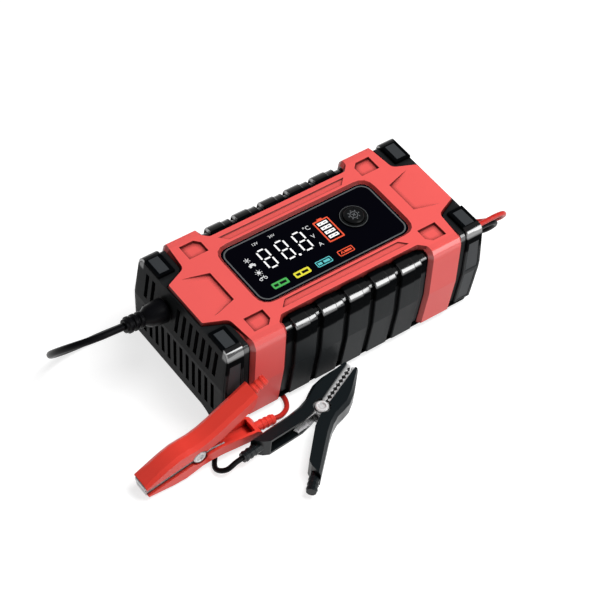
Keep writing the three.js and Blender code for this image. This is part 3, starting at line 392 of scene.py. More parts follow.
def mouldedGroup():
    # fine spark-eroded grain, the slow drift of gloss over a moulding, and painted shade in its
    # crevices
    group, given, made = nodeGroup(
        "mouldedSurfaceAndShade",
        [("Grain Size", "Float", 2600.0), ("Colour", "Color", (0.5, 0.5, 0.5, 1)),
         ("Drift", "Float", 0.12), ("Gloss Low", "Float", 0.35), ("Gloss High", "Float", 0.45),
         ("Crevice Shade", "Float", 0.0)],
        [("Colour", "Color"), ("Roughness", "Float"), ("Height", "Float")],
    )
    look = mouldedLook
    place = objectPlace(group)
    grain = addNode(
        group, "TexNoise",
        {"Vector": place, "Scale": given["Grain Size"], "Detail": look["grainDetail"]},
    )
    drift = addNode(
        group, "TexNoise",
        {"Vector": place, "Scale": look["driftScale"], "Detail": look["driftDetail"]},
    ).outputs["Fac"]
    gloss = rangeNode(group, drift, *look["driftSpread"], given["Gloss Low"], given["Gloss High"])
    share = mathNode(group, "MULTIPLY", drift, given["Drift"])
    drifted = colourMix(group, share, given["Colour"], look["driftTint"], "MULTIPLY")
    # painted shade: ambient occlusion darkens the colour in crevices and recesses
    creviceShade = addNode(
        group, "AmbientOcclusion", {"Distance": look["creviceShadeReach"]}, samples=creviceShadeSamples
    )
    depth = mathNode(group, "POWER", creviceShade.outputs["AO"], given["Crevice Shade"])
    colour = colourMix(group, 1, drifted, depth, "MULTIPLY")
    feed(group, made, {"Colour": colour, "Roughness": gloss, "Height": grain.outputs["Fac"]})
    return group


def brushedGroup():
    # drawn lines along one axis, for plated and brushed metal
    group, given, made = nodeGroup(
        "drawnMetal",
        [("Lines", "Vector", (400.0, 4000.0, 4000.0)), ("Gloss Low", "Float", 0.2),
         ("Gloss High", "Float", 0.35)],
        [("Roughness", "Float"), ("Height", "Float")],
    )
    stretched = addNode(
        group, "VectorMath", {0: objectPlace(group), 1: given["Lines"]}, operation="MULTIPLY"
    ).outputs["Vector"]
    lines = addNode(
        group, "TexNoise", {"Vector": stretched, "Scale": 1, "Detail": metalLook["lineDetail"]}
    ).outputs["Fac"]
    gloss = rangeNode(group, lines, toMin=given["Gloss Low"], toMax=given["Gloss High"])
    feed(group, made, {"Roughness": gloss, "Height": lines})
    return group


def heightGroup():
    # masks: above a level of the case, above another the shoulders of its long sides, and the
    # steep walls between them with the sides of the straps, where painted shade goes
    group, given, made = nodeGroup(
        "heightMask",
        [("Band", "Float", 0.055), ("Shoulder", "Float", 0.063), ("Blend", "Float", 0.002)],
        [("Band", "Float"), ("Shoulder", "Float"), ("Shaded Wall", "Float")],
    )
    axes = split(group, objectPlace(group))
    above = {}
    for label in ("Band", "Shoulder"):
        top = mathNode(group, "ADD", given[label], given["Blend"])
        above[label] = rangeNode(group, axes["Z"], given[label], top)
    aside = mathNode(group, "ABSOLUTE", axes["Y"])
    outer = rangeNode(group, aside, *shoulderAndWallShadeMask["shoulderY"])
    shoulder = mathNode(group, "MULTIPLY", above["Shoulder"], outer)
    normal = split(group, addNode(group, "NewGeometry").outputs["True Normal"])
    upward = mathNode(group, "ABSOLUTE", normal["Z"])
    steep = rangeNode(group, upward, *shoulderAndWallShadeMask["steep"])
    between = mathNode(group, "SUBTRACT", above["Shoulder"], shoulder)
    wall = mathNode(group, "MULTIPLY", steep, between)
    sideways = mathNode(group, "ABSOLUTE", normal["X"])
    strap = rangeNode(group, sideways, *shoulderAndWallShadeMask["strapSide"], toMax=shoulderAndWallShadeMask["strapSideShare"])
    either = mathNode(group, "MAXIMUM", wall, strap)
    feed(group, made, {"Band": above["Band"], "Shoulder": shoulder, "Shaded Wall": either})
    return group


moulded = mouldedGroup()
brushed = brushedGroup()
heightMask = heightGroup()


def newMaterial(name):
    material = bpy.data.materials.new(name)
    material.use_nodes = True
    return material, material.node_tree, material.node_tree.nodes["Principled BSDF"]


def addBump(tree, shader, height, strength, distance):
    inputs = {"Height": height, "Strength": strength, "Distance": distance}
    feed(tree, shader, {"Normal": addNode(tree, "Bump", inputs).outputs["Normal"]})


# the strength of the painted shade in crevices is set per material
def plasticMaterial(
    name, colour, gloss, grain=0.25, grainSize=2600, drift=0.12, specular=0.5, creviceShade=1.0
):
    material, tree, shader = newMaterial(name)
    inputs = {
        "Colour": (*colour, 1),
        "Grain Size": grainSize,
        "Drift": drift,
        "Gloss Low": gloss[0],
        "Gloss High": gloss[1],
        "Crevice Shade": creviceShade,
    }
    surface = addNode(tree, "Group", inputs, node_tree=moulded, name="surface").outputs
    feed(tree, shader, {
        "Base Color": surface["Colour"],
        "Roughness": surface["Roughness"],
        "Specular IOR Level": specular,
    })
    addBump(tree, shader, surface["Height"], grain, mouldedLook["grainDepth"])
    return material


def levelledMaterial(
    name, lowColour, highColour, levels, gloss, specular, coat, creviceShade=1.5, wallShadeColour=None,
    dullTop=False,
):
    # a plastic whose colour, and roughness with dullTop, changes at one height, and which is
    # polished above another; the colour change there and the wall colour are painted shade
    material = plasticMaterial(
        name, lowColour, gloss, grain=0.15, specular=specular, creviceShade=creviceShade
    )
    tree = material.node_tree
    surface, shader = tree.nodes["surface"], tree.nodes["Principled BSDF"]
    inputs = {"Band": levels[0] * mm, "Shoulder": levels[1] * mm}
    mask = addNode(tree, "Group", inputs, node_tree=heightMask).outputs
    colour = colourMix(tree, mask["Band"], (*lowColour, 1), (*highColour, 1))
    # painted shade on the steep walls and strap sides
    if wallShadeColour:
        colour = colourMix(tree, mask["Shaded Wall"], colour, (*wallShadeColour, 1))
    feed(tree, surface, {"Colour": colour})
    if dullTop:
        matt = mathNode(tree, "MAXIMUM", surface.outputs["Roughness"], mask["Band"])
        feed(tree, shader, {"Roughness": matt})
    feed(tree, shader, {
        "Coat Weight": mathNode(tree, "MULTIPLY", mask["Shoulder"], coat),
        "Coat Roughness": polish["roughness"],
        "Coat IOR": polish["ior"],
    })
    return material


def metalMaterial(name, colour, gloss, metallic=1.0):
    material, tree, shader = newMaterial(name)
    inputs = {"Lines": metalLook["lines"], "Gloss Low": gloss[0], "Gloss High": gloss[1]}
    surface = addNode(tree, "Group", inputs, node_tree=brushed).outputs
    # painted shade: ambient occlusion darkens the base colour in crevices, and the gamma deepens it
    inputs = {"Distance": metalLook["creviceShadeReach"], "Color": (*colour, 1)}
    creviceShade = addNode(tree, "AmbientOcclusion", inputs, samples=creviceShadeSamples)
    inputs = {"Color": creviceShade.outputs["Color"], "Gamma": metalLook["creviceShadeGamma"]}
    feed(tree, shader, {
        "Base Color": addNode(tree, "Gamma", inputs).outputs["Color"],
        "Metallic": metallic,
        "Roughness": surface["Roughness"],
    })
    addBump(tree, shader, surface["Height"], metalLook["lineBump"], metalLook["lineDepth"])
    return material


def printMaterial(name, colour, glow):
    material = plasticMaterial(name, colour, (0.32, 0.4), grain=0.05, drift=0.15, creviceShade=0.0)
    shader = material.node_tree.nodes["Principled BSDF"]
    feed(material.node_tree, shader, {"Emission Color": (*colour, 1), "Emission Strength": glow})
    return material


coverRed = (0.92, 0.125, 0.115)
# the dark wall colour is painted shade on the recess walls and strap sides
redShell = levelledMaterial(
    "redShell", coverRed, coverRed, (34.5, 65), (0.34, 0.42), 0.25, coat=0.2, creviceShade=3.4,
    wallShadeColour=(0.25, 0.025, 0.021),
)
# darker below 34.5 mm: painted shade on the lower part of the shell
blackShell = levelledMaterial(
    "blackShell", (0.009, 0.01, 0.011), (0.018, 0.0195, 0.0205), (34.5, 64), (0.3, 0.4), 0.03,
    coat=0.5,
)
# near black above 53.5 mm: painted shade for the dark band under the shoulder highlights
blackGrip = levelledMaterial(
    "blackGrip", (0.017, 0.0195, 0.021), (0.0015, 0.002, 0.0025), (53.5, 65.2), (0.3, 0.38), 0.06,
    coat=1.0, dullTop=True,
)
buttonBlack = plasticMaterial("buttonBlack", (0.006, 0.0065, 0.007), (0.3, 0.36), specular=0.25)
padGrip = plasticMaterial(
    "padGrip", (0.045, 0.049, 0.053), (0.42, 0.52), grain=0.3, specular=0.15
)
displayGloss = plasticMaterial(
    "displayGloss", (0.001, 0.001, 0.003), (0.05, 0.07), grain=0.0, specular=0.12
)
redClamp = plasticMaterial("redClampPlastic", (0.95, 0.062, 0.042), (0.34, 0.42), drift=0.1)
blackClamp = plasticMaterial(
    "blackClampPlastic", (0.009, 0.0125, 0.0145), (0.3, 0.38), specular=0.3
)
cableBlack = plasticMaterial(
    "cableBlack", (0.004, 0.004, 0.005), (0.3, 0.4), grain=0.3, grainSize=3500, specular=0.12
)
cableRed = plasticMaterial(
    "cableRed", (0.62, 0.028, 0.02), (0.34, 0.44), grain=0.3, grainSize=3500
)
boardGreen = plasticMaterial(
    "boardGreen", (0.012, 0.085, 0.035), (0.25, 0.4), grain=0.5, grainSize=900
)
componentBlack = plasticMaterial(
    "componentBlack", (0.012, 0.012, 0.014), (0.4, 0.55), specular=0.3
)
clampSteel = metalMaterial("clampSteel", (0.95, 0.95, 0.955), (0.26, 0.38), metallic=0.15)
screwSteel = metalMaterial("screwSteel", (0.55, 0.56, 0.58), (0.25, 0.4))
finAluminium = metalMaterial("finAluminium", (0.6, 0.61, 0.63), (0.3, 0.45))
pinBrass = metalMaterial("pinBrass", (0.80, 0.66, 0.38), (0.18, 0.28))
litWhite = printMaterial("litWhite", (0.92, 0.92, 0.92), 0.25)
printWhite = printMaterial("printWhite", (0.75, 0.76, 0.77), 0.1)
printOrange = printMaterial("printOrange", (0.85, 0.10, 0.045), 0.15)
printGreen = printMaterial("printGreen", (0.075, 0.45, 0.10), 0.1)
printYellow = printMaterial("printYellow", (0.80, 0.74, 0.05), 0.1)
printCyan = printMaterial("printCyan", (0.12, 0.56, 0.58), 0.1)
printGrey = printMaterial("printGrey", (0.12, 0.13, 0.135), 0.0)
# a light silver for the mode button's pattern: painted highlight
highlightSilver = printMaterial("highlightSilver", (0.19, 0.2, 0.21), 0.0)
printDark = printMaterial("printDark", (0.004, 0.004, 0.005), 0.0)
print("materials made")

# pieces refined from the model's own solids
bodyOf = {
    node: body for body, nodes in frame["record"]["behaviour"]["bodies"].items() for node in nodes
}
slotOf = {s["node"]: s["material_slot"] for s in frame["record"]["subparts"]}
refining = {"merge": 0.00002, "flatWithin": 1.2, "foldReach": 0.0003}
coverFolds, capFolds = (34.9,), (34.9, 40)  # heights where the faces fold


def finishPiece(name, bm, material, body="charger", slotName=None, replaced=()):
    mesh = bpy.data.meshes.new(name)
    bm.to_mesh(mesh)
    bm.free()
    mesh.materials.append(material)
    piece = addObject(name, mesh)
    if body:
        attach(piece, body)
    if replaced:
        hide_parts(*replaced)
        slotName = slotName or slotOf[replaced[0]]
    return piece


def softenEdges(piece, width, segments, angle):
    bevel = piece.modifiers.new("softEdges", "BEVEL")
    bevel.width = width * mm
    bevel.segments = segments
    bevel.limit_method = "ANGLE"
    bevel.angle_limit = math.radians(angle)
    bevel.miter_outer = "MITER_ARC"
    weighted = piece.modifiers.new("evenShading", "WEIGHTED_NORMAL")
    weighted.keep_sharp = True


rib = {
    "pitch": 20,
    "count": 5,
    "half": 8,
    "margin": 0.2,
    "step": 2.2,
    "wall": 0.5,
    "drop": 0.7,
    "back": 0.6,  # share of the drop by which the step also stands back
    "low": 62,
    "outerY": 44.6,
    "topZ": 69,
}


def stepRibs(bm):
    # the right third of every rib steps back over the shoulder
    for i in range(rib["count"]):
        centre = (i - (rib["count"] - 1) / 2) * rib["pitch"]
        for x in (centre + rib["step"], centre + rib["step"] + rib["wall"]):
            geometry = bm.verts[:] + bm.edges[:] + bm.faces[:]
            bmesh.ops.bisect_plane(bm, geom=geometry, plane_co=(x * mm, 0, 0), plane_no=(1, 0, 0))
        near = centre + rib["step"] + rib["wall"] / 2
        far = centre + rib["half"] - rib["margin"]
        for vert in bm.verts:
            x, y, z = vert.co / mm
            raised = z > rib["low"] and (abs(y) > rib["outerY"] or z > rib["topZ"])
            if near < x < far and raised:
                vert.co.y -= math.copysign(rib["drop"] * rib["back"] * mm, y)
                vert.co.z -= rib["drop"] * mm


recess = {"floor": 70.55, "spread": 0.35, "deeper": 0.7, "awayX": 60, "awayY": 26}


def deepenRecesses(bm):
    for vert in bm.verts:
        x, y, z = vert.co / mm
        aside = abs(x) > recess["awayX"] or abs(y) > recess["awayY"]
        if aside and abs(z - recess["floor"]) < recess["spread"]:
            vert.co.z -= recess["deeper"] * mm


def sinkPad(bm, pad):
    wide = [f for f in bm.faces if f.calc_area() > pad["area"] * mm**2]
    bmesh.ops.inset_individual(bm, faces=wide, thickness=pad["frame"] * mm, use_even_offset=True)
    bmesh.ops.inset_individual(
        bm, faces=wide, thickness=pad["wall"] * mm, depth=-pad["depth"] * mm, use_even_offset=True
    )
    for face in wide:
        face.material_index = 1


def mergedNode(node):
    bm = bmesh.new()
    bm.from_mesh(frame["nodes"][node].data)
    bmesh.ops.remove_doubles(bm, verts=bm.verts, dist=refining["merge"])
    return bm


def refineNode(
    node, material, width=0.35, segments=2, angle=28, creases=(), holes=False, pad=None
):
    bm = mergedNode(node)
    if not holes:
        flat = math.radians(refining["flatWithin"])
        bmesh.ops.dissolve_limit(bm, angle_limit=flat, verts=bm.verts, edges=bm.edges)
    if node.endswith("_grip"):
        stepRibs(bm)
    if node == "top_cover":
        deepenRecesses(bm)
    if pad:
        sinkPad(bm, pad)
    for face in bm.faces:
        face.smooth = True
    for edge in bm.edges:
        heights = [v.co.z for v in edge.verts]
        if any(all(abs(h - z * mm) < refining["foldReach"] for h in heights) for z in creases):
            edge.smooth = False
    piece = finishPiece(node + "_finished", bm, material, bodyOf[node], replaced=[node])
    if pad:
        piece.data.materials.append(pad["material"])
    softenEdges(piece, width, segments, angle)


def paintNode(node, material):
    target = frame["nodes"][node]
    target.data.materials.clear()
    target.data.materials.append(material)


ends, sides = ("left", "right"), ("front", "rear")
bumperPad = {"area": 90, "frame": 1.7, "wall": 0.35, "depth": 0.3, "material": padGrip}
buttonDish = {"area": 60, "frame": 0.5, "wall": 0.25, "depth": 0.15, "material": buttonBlack}
rivetDimple = {"area": 9, "frame": 1.0, "wall": 0.5, "depth": 0.7, "material": clampSteel}
refineNode("top_cover", redShell, width=0.45, segments=3, angle=30, creases=coverFolds)
for side in sides:
    refineNode(side + "_grip", blackGrip, angle=30, creases=coverFolds)
for end in ends:
    refineNode(end + "_end_cap", blackShell, width=0.25, creases=capFolds, holes=True)
    for side in sides:
        corner = f"{side}_{end}"
        refineNode(
            corner + "_bumper", blackGrip, width=0.4, segments=3, angle=30, creases=capFolds,
            pad=bumperPad,
        )
        refineNode(corner + "_foot", blackGrip, width=0.3)
        paintNode(corner + "_screw", screwSteel)
refineNode("base_shell", blackShell, width=0.3)
refineNode("mains_strain_relief", cableBlack, width=0.25, angle=40)
refineNode("output_strain_relief", cableBlack, width=0.25, angle=40)
refineNode("mains_plug", componentBlack, width=0.5)
refineNode("hank_tie", cableBlack, width=0.2)
for colour, material in (("red", redClamp), ("black", blackClamp)):
    for half in ("moving", "fixed"):
        refineNode(f"{colour}_clamp_{half}_handle", material, width=0.4, segments=3, angle=20)
        refineNode(f"{colour}_clamp_{half}_jaw", clampSteel, width=0.15, angle=35)
    refineNode(colour + "_clamp_rivet", clampSteel, width=0.2, angle=35, pad=rivetDimple)
springs = {
    "red": {
        "pivot": (-126, -57.9, 15.5),
        "across": (-0.262, 0, 0.965),
        "swings": "red_clamp_upper",
    },
    "black": {
        "pivot": (-41.2, -71.6, 6.91),
        "across": (0.473, -0.881, 0),
        "swings": "black_clamp_swing",
    },
}


def addSpring(colour, pivot, across, swings):
    # the model's spring, merged and smooth shaded, baked in place on no body; neither leg moves
    # with a half
    node = colour + "_clamp_spring"
    bm = mergedNode(node)
    for face in bm.faces:
        face.smooth = True
    piece = finishPiece(node + "_finished", bm, screwSteel, None, replaced=[node])
    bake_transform(piece)


for colour, place in springs.items():
    addSpring(colour, **place)
for node, material in {
    "lcd_panel": displayGloss,
    "display_board": boardGreen,
    "main_board": boardGreen,
    "button_switch": componentBlack,
    "transformer": componentBlack,
    "filter_choke": componentBlack,
    "input_capacitor": componentBlack,
    "output_capacitor": componentBlack,
    "primary_heat_sink": finAluminium,
    "secondary_heat_sink": finAluminium,
    "fan_frame": componentBlack,
    "fan_rotor": componentBlack,
    "lower_plug_pin": pinBrass,
    "upper_plug_pin": pinBrass,
}.items():
    paintNode(node, material)
refineNode("display_window", displayGloss, width=0.2)
refineNode("button_bezel", buttonBlack, width=0.2, angle=35)
refineNode("mode_button", buttonBlack, width=0.25, angle=35, pad=buttonDish)
for cordPiece, material in (
    (mainsCable, cableBlack), (redWire, cableRed), (blackWire, cableBlack),
):
    cordPiece.data.materials.append(material)

mainsPoints()
print("case and clamps finished")

# display print, a film on the lens
film = {"z": 70.22, "thickness": 0.05, "leastRadius": 0.05, "slot": "display_gloss"}
digit = {
    "count": 3,
    "x": -35.0,
    "y": -3.3,
    "pitch": 13.15,
    "width": 6.5,
    "height": 15.4,
    "bar": 1.15,
    "gap": 0.25,
    "trim": 0.4,
}
point = {"x": -13.0, "below": 0.5, "radius": 0.9}
battery = {
    "x": 14.2,
    "y": 3.6,
    "width": 11.6,
    "height": 18.8,
    "radius": 0.6,
    "line": 0.95,
    "cap": (3.6, 1.1),
    "bars": 4,
    "barPitch": 3.9,
    "barRise": 0.4,
    "barAside": -0.1,
    "bar": (7.2, 2.5),
    "marks": ((-1.8, 1.3), (1.5, 1.9)),
    "markHeight": 0.7,
}
pill = {
    "width": 11.4,
    "height": 4.7,
    "radius": 0.9,
    "line": 0.6,
    "marks": ((-3.0, 3.0), (2.0, 4.6)),
    "markHeight": 1.9,
}
sparkPill = {
    "place": (12.4, -16.4),
    "zigzag": ((8.6, -17.4, 9.8, -15.4), (9.8, -15.4, 10.6, -17.4)),
    "zigzagLine": 0.6,
    "mark": (14.0, -16.4, 5.2, 1.5),
}
plainPills = (
    ("displayGreenMark", -36.9, -16.2, printGreen, True),
    ("displayYellowMark", -20.6, -16.3, printYellow, True),
    ("displayCyanMark", -4.3, -16.4, printCyan, False),
)
markLift = 0.03  # the dark marks lie this much higher than the colour under them
border = {"inset": 1.0, "line": 0.9, "centre": 1.5, "halfX": 56.8, "halfY": 24.6, "radius": 8}
snowflake = {"place": (-43.6, 9.4), "arms": 3, "first": 30, "reach": 2.1, "line": 0.45}
car = {
    "body": (-43.0, 4.7, 4.6, 1.2),
    "roof": (-43.0, 5.7, 2.6, 0.9),
    "wheelX": (-44.5, -41.5),
    "wheelY": 3.8,
    "wheel": 0.65,
}
sun = {
    "place": (-43.1, -2.4), "radius": 1.25, "rays": 8, "near": 1.7, "far": 2.5, "line": 0.35,
}
motorcycle = {
    "wheelX": (-45.0, -41.6),
    "wheelY": -7.6,
    "tyre": 1.1,
    "hub": 0.65,
    "frame": (-44.6, -6.6, -42.0, -6.6, 0.7),
    "handlebar": (-42.4, -6.4, -41.8, -5.3, 0.4),
}
units = (
    ("12V", -31.6, 18.0, 2.9, "displayText12V"),
    ("24V", -19.0, 18.0, 2.9, "displayText24V"),
    ("\u00b0C", 2.9, 11.4, 4.6, "displayTextC"),
    ("V", 2.7, 4.0, 4.4, "displayTextV"),
    ("A", 2.9, -3.7, 4.4, "displayTextA"),
)


def raiseFaces(bm, faces):
    grown = bmesh.ops.extrude_face_region(bm, geom=faces)["geom"]
    top = [v for v in grown if isinstance(v, bmesh.types.BMVert)]
    bmesh.ops.translate(bm, vec=(0, 0, film["thickness"] * mm), verts=top)
    bmesh.ops.recalc_face_normals(bm, faces=bm.faces)


def filmBox(bm, cx, cy, width, height, turn=0.0):
    place = Matrix.Translation((cx * mm, cy * mm, (film["z"] + film["thickness"] / 2) * mm))
    size = Matrix.Diagonal((width * mm, height * mm, film["thickness"] * mm, 1))
    bmesh.ops.create_cube(bm, size=1, matrix=place @ turned(turn, "Z") @ size)


def filmBar(bm, x0, y0, x1, y1, width):
    length = math.hypot(x1 - x0, y1 - y0)
    turn = math.degrees(math.atan2(y1 - y0, x1 - x0))
    filmBox(bm, (x0 + x1) / 2, (y0 + y1) / 2, length, width, turn)


def filmRay(bm, cx, cy, angle, near, far, width):
    dx, dy = math.cos(math.radians(angle)), math.sin(math.radians(angle))
    filmBar(bm, cx + near * dx, cy + near * dy, cx + far * dx, cy + far * dy, width)


def filmDisc(bm, cx, cy, radius, segments=20, inner=0.0):
    place = Matrix.Translation((cx * mm, cy * mm, film["z"] * mm))
    made = bmesh.ops.create_circle(
        bm, cap_ends=not inner, radius=radius * mm, segments=segments, matrix=place
    )
    if inner:
        edges = [e for e in bm.edges if all(v in made["verts"] for v in e.verts)]
        hole = bmesh.ops.create_circle(bm, radius=inner * mm, segments=segments, matrix=place)
        edges += [e for e in bm.edges if all(v in hole["verts"] for v in e.verts)]
        faces = bmesh.ops.bridge_loops(bm, edges=edges)["faces"]
    else:
        faces = list({f for v in made["verts"] for f in v.link_faces})
    raiseFaces(bm, faces)


def roundedOutline(bm, cx, cy, halfX, halfY, radius, steps):
    verts = []
    for corner, (sx, sy) in enumerate(((1, 1), (-1, 1), (-1, -1), (1, -1))):
        for i in range(steps + 1):
            a = math.pi / 2 * (corner + i / steps)
            x = cx + sx * (halfX - radius) + radius * math.cos(a)
            y = cy + sy * (halfY - radius) + radius * math.sin(a)
            verts.append(bm.verts.new((x * mm, y * mm, film["z"] * mm)))
    return verts


def roundedFrame(bm, cx, cy, halfX, halfY, radius, line, steps):
    # a ring with rounded corners; line = None fills it
    outer = roundedOutline(bm, cx, cy, halfX, halfY, radius, steps)
    if line is None:
        raiseFaces(bm, [bm.faces.new(outer)])
        return
    radius = max(film["leastRadius"], radius - line)
    inner = roundedOutline(bm, cx, cy, halfX - line, halfY - line, radius, steps)
    edges = [
        bm.edges.new((loop[i], loop[(i + 1) % len(loop)]))
        for loop in (outer, inner) for i in range(len(loop))
    ]
    raiseFaces(bm, bmesh.ops.bridge_loops(bm, edges=edges)["faces"])


def pillFrame(bm, cx, cy, line):
    roundedFrame(bm, cx, cy, pill["width"] / 2, pill["height"] / 2, pill["radius"], line, steps=4)


def finishPrint(name, bm, material):
    finishPiece(name, bm, material, slotName=film["slot"])


def addDigits(bm):
    w, h, bar = digit["width"], digit["height"], digit["bar"]
    short = bar / 2 + digit["gap"]
    trimmed = short + digit["trim"]
    y = digit["y"]
    for i in range(digit["count"]):
        x = digit["x"] + i * digit["pitch"]
        for level in (0, h / 2, h):
            filmBar(bm, x + trimmed, y + level, x + w - trimmed, y + level, bar)
        for side in (0, w):
            for low in (0, h / 2):
                filmBar(bm, x + side, y + low + short, x + side, y + low + h / 2 - short, bar)
    filmDisc(bm, point["x"], y - point["below"], point["radius"])


def barLevels():
    middle = battery["y"] + battery["barRise"]
    return [
        middle + (i - (battery["bars"] - 1) / 2) * battery["barPitch"]
        for i in range(battery["bars"])
    ]


def addFigures():
    bm = bmesh.new()
    addDigits(bm)
    for y in barLevels():
        filmBox(bm, battery["x"] + battery["barAside"], y, *battery["bar"])
    finishPrint("displayFigures", bm, litWhite)


def addOrangeMarks():
    x, y, halfX, halfY = battery["x"], battery["y"], battery["width"] / 2, battery["height"] / 2
    bm = bmesh.new()
    roundedFrame(bm, x, y, halfX, halfY, battery["radius"], battery["line"], steps=3)
    filmBox(bm, x, y + halfY + battery["cap"][1] / 2, *battery["cap"])
    pillFrame(bm, *sparkPill["place"], pill["line"])
    for stroke in sparkPill["zigzag"]:
        filmBar(bm, *stroke, sparkPill["zigzagLine"])
    filmBox(bm, *sparkPill["mark"])
    finishPrint("displayOrangeMarks", bm, printOrange)


def addPills():
    dark = bmesh.new()
    for name, cx, cy, material, filled in plainPills:
        bm = bmesh.new()
        pillFrame(bm, cx, cy, None if filled else pill["line"])
        for x, width in pill["marks"]:
            filmBox(dark if filled else bm, cx + x, cy, width, pill["markHeight"])
        finishPrint(name, bm, material)
    for y in barLevels():
        for x, width in battery["marks"]:
            filmBox(dark, battery["x"] + x, y, width, battery["markHeight"])
    bmesh.ops.translate(dark, vec=(0, 0, markLift * mm), verts=dark.verts)
    finishPrint("displayDarkMarks", dark, printDark)


def addBorder():
    bm = bmesh.new()
    inset = border["inset"]
    roundedFrame(
        bm, border["centre"], 0, border["halfX"] - inset, border["halfY"] - inset,
        border["radius"] - inset, border["line"], steps=10,
    )
    finishPrint("displayBorder", bm, printGrey)


def addSymbols():
    bm = bmesh.new()
    reach = snowflake["reach"]
    for i in range(snowflake["arms"]):
        angle = 180 * i / snowflake["arms"] + snowflake["first"]
        filmRay(bm, *snowflake["place"], angle, -reach, reach, snowflake["line"])
    filmBox(bm, *car["body"])
    filmBox(bm, *car["roof"])
    for x in car["wheelX"]:
        filmDisc(bm, x, car["wheelY"], car["wheel"], segments=12)
    filmDisc(bm, *sun["place"], sun["radius"], segments=16)
    for i in range(sun["rays"]):
        filmRay(bm, *sun["place"], 360 * i / sun["rays"], sun["near"], sun["far"], sun["line"])
    for x in motorcycle["wheelX"]:
        tyre, hub = motorcycle["tyre"], motorcycle["hub"]
        filmDisc(bm, x, motorcycle["wheelY"], tyre, segments=14, inner=hub)
    filmBar(bm, *motorcycle["frame"])
    filmBar(bm, *motorcycle["handlebar"])
    finishPrint("displaySymbols", bm, printWhite)


def addText(text, cx, cy, size, name, material):
    data = bpy.data.curves.new(name, "FONT")
    data.body = text
    data.size = size * mm
    data.align_x, data.align_y = "CENTER", "CENTER"
    data.extrude = film["thickness"] * mm / 2
    lettering = addObject(name, data)
    bpy.context.view_layer.update()
    mesh = bpy.data.meshes.new_from_object(lettering)
    bpy.data.objects.remove(lettering)
    bm = bmesh.new()
    bm.from_mesh(mesh)
    bmesh.ops.remove_doubles(bm, verts=bm.verts, dist=0.000001)
    middle = film["z"] + film["thickness"] / 2
    bmesh.ops.translate(bm, vec=(cx * mm, cy * mm, middle * mm), verts=bm.verts)
    finishPrint(name, bm, material)


def addDisplay():
    addFigures()
    addOrangeMarks()
    addPills()
    addBorder()
    addSymbols()
    for text, cx, cy, size, name in units:
        addText(text, cx, cy, size, name, printWhite)


button = {
    "place": (33.5, 3.5),
    "top": 72.57,
    "rings": ((4.95, 0.45), (2.7, 0.4)),
    "dots": 8,
    "dotRing": 3.65,
    "dot": 0.42,
    "cross": (2.8, 0.5),
    "rim": (8.95, 8.7),
    "rimTop": 71.2,
}


def addButtonFace():
    # the pad on the mode button: two fine rings, a ring of dots and a cross
    cx, cy = button["place"]
    bm = bmesh.new()
    # the rings, dots and cross follow the button's own relief; their light silver is painted
    # highlight
    for outer, line in button["rings"]:
        filmDisc(bm, cx, cy, outer, segments=40, inner=outer - line)
    for i in range(button["dots"]):
        a = 2 * math.pi * i / button["dots"]
        x, y = cx + button["dotRing"] * math.cos(a), cy + button["dotRing"] * math.sin(a)
        filmDisc(bm, x, y, button["dot"], segments=12)
    for turn in (45, 135):
        filmBox(bm, cx, cy, *button["cross"], turn)
    bmesh.ops.translate(bm, vec=(0, 0, (button["top"] - film["z"]) * mm), verts=bm.verts)
    finishPiece("buttonPattern", bm, highlightSilver, "mode_button", slotName=slotOf["mode_button"])
    bm = bmesh.new()
    filmDisc(bm, cx, cy, button["rim"][0], segments=48, inner=button["rim"][1])
    bmesh.ops.translate(bm, vec=(0, 0, (button["rimTop"] - film["z"]) * mm), verts=bm.verts)
    finishPiece("buttonRing", bm, printGrey, slotName=slotOf["button_bezel"])


addButtonFace()
addDisplay()
print("display printed")

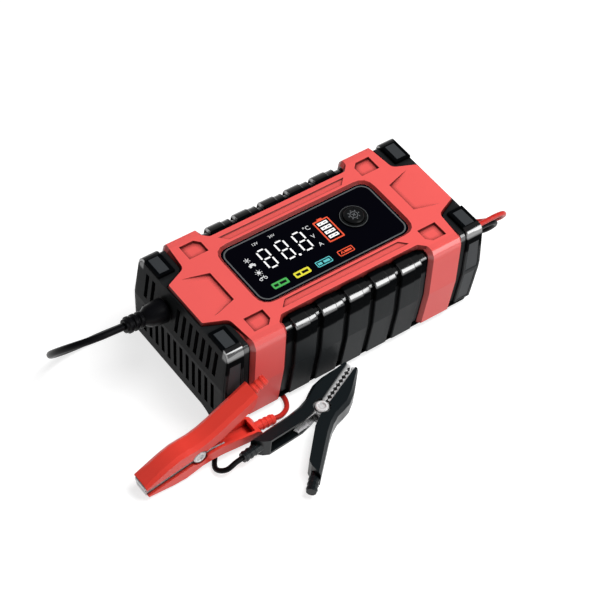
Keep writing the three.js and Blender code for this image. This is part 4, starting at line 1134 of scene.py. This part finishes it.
# studio: pale floor, soft light
studio = {
    "key": {
        "place": (0.57, -0.94, 0.66), "size": 0.3, "tall": 1.36, "power": 4.6, "mirrored": True,
    },
    "top": {
        "place": (0.36, -0.24, 1.26), "size": 0.7, "tall": 0.7, "power": 14.5, "mirrored": False,
    },
}
lampAim = (-0.02, -0.01, 0.03)
floorLook = {
    "half": 4, "colour": (0.5, 0.5, 0.5, 1), "roughness": 0.9, "specular": 0.1, "glow": 0.74,
}
skyLook = {"from": 0.1, "to": 0.65, "low": 0.42, "high": 0.06}
white = (1, 1, 1, 1)


def addLamp(name, spec):
    data = bpy.data.lights.new(name, "AREA")
    data.shape = "RECTANGLE"
    data.size = spec["size"]
    data.size_y = spec["tall"]
    data.energy = spec["power"]
    lamp = addObject(name, data)
    place = Vector(spec["place"])
    aim = (Vector(lampAim) - place).to_track_quat("-Z", "Y")
    lamp.matrix_world = Matrix.Translation(place) @ aim.to_matrix().to_4x4()
    lamp.visible_glossy = spec["mirrored"]


def addFloor():
    # it shows white to the camera and in gloss, and still takes the shadow
    material, tree, shader = newMaterial("paleFloor")
    seen = addNode(tree, "LightPath").outputs
    direct = mathNode(tree, "ADD", seen["Is Camera Ray"], seen["Is Glossy Ray"], use_clamp=True)
    feed(tree, shader, {
        "Base Color": floorLook["colour"],
        "Roughness": floorLook["roughness"],
        "Specular IOR Level": floorLook["specular"],
        "Emission Color": white,
        "Emission Strength": mathNode(tree, "MULTIPLY", direct, floorLook["glow"]),
    })
    bm = bmesh.new()
    bmesh.ops.create_grid(bm, x_segments=1, y_segments=1, size=floorLook["half"])
    floor = finishPiece("floor", bm, material, None)


def addWorld():
    # bright low down, dark overhead, as in a studio with a black ceiling
    world = bpy.data.worlds.new("studioWorld")
    bpy.context.scene.world = world
    world.use_nodes = True
    tree = world.node_tree
    height = split(tree, addNode(tree, "TexCoord").outputs["Generated"])["Z"]
    level = rangeNode(
        tree, height, skyLook["from"], skyLook["to"], skyLook["low"], skyLook["high"]
    )
    seen = addNode(tree, "LightPath").outputs
    shown = mathNode(tree, "MAXIMUM", seen["Is Camera Ray"], level)
    feed(tree, tree.nodes["Background"], {"Color": white, "Strength": shown})


for lampName, lampSpec in studio.items():
    addLamp(lampName + "Lamp", lampSpec)
addFloor()
addWorld()
bpy.context.scene.view_settings.view_transform = "Standard"
print("studio lit")
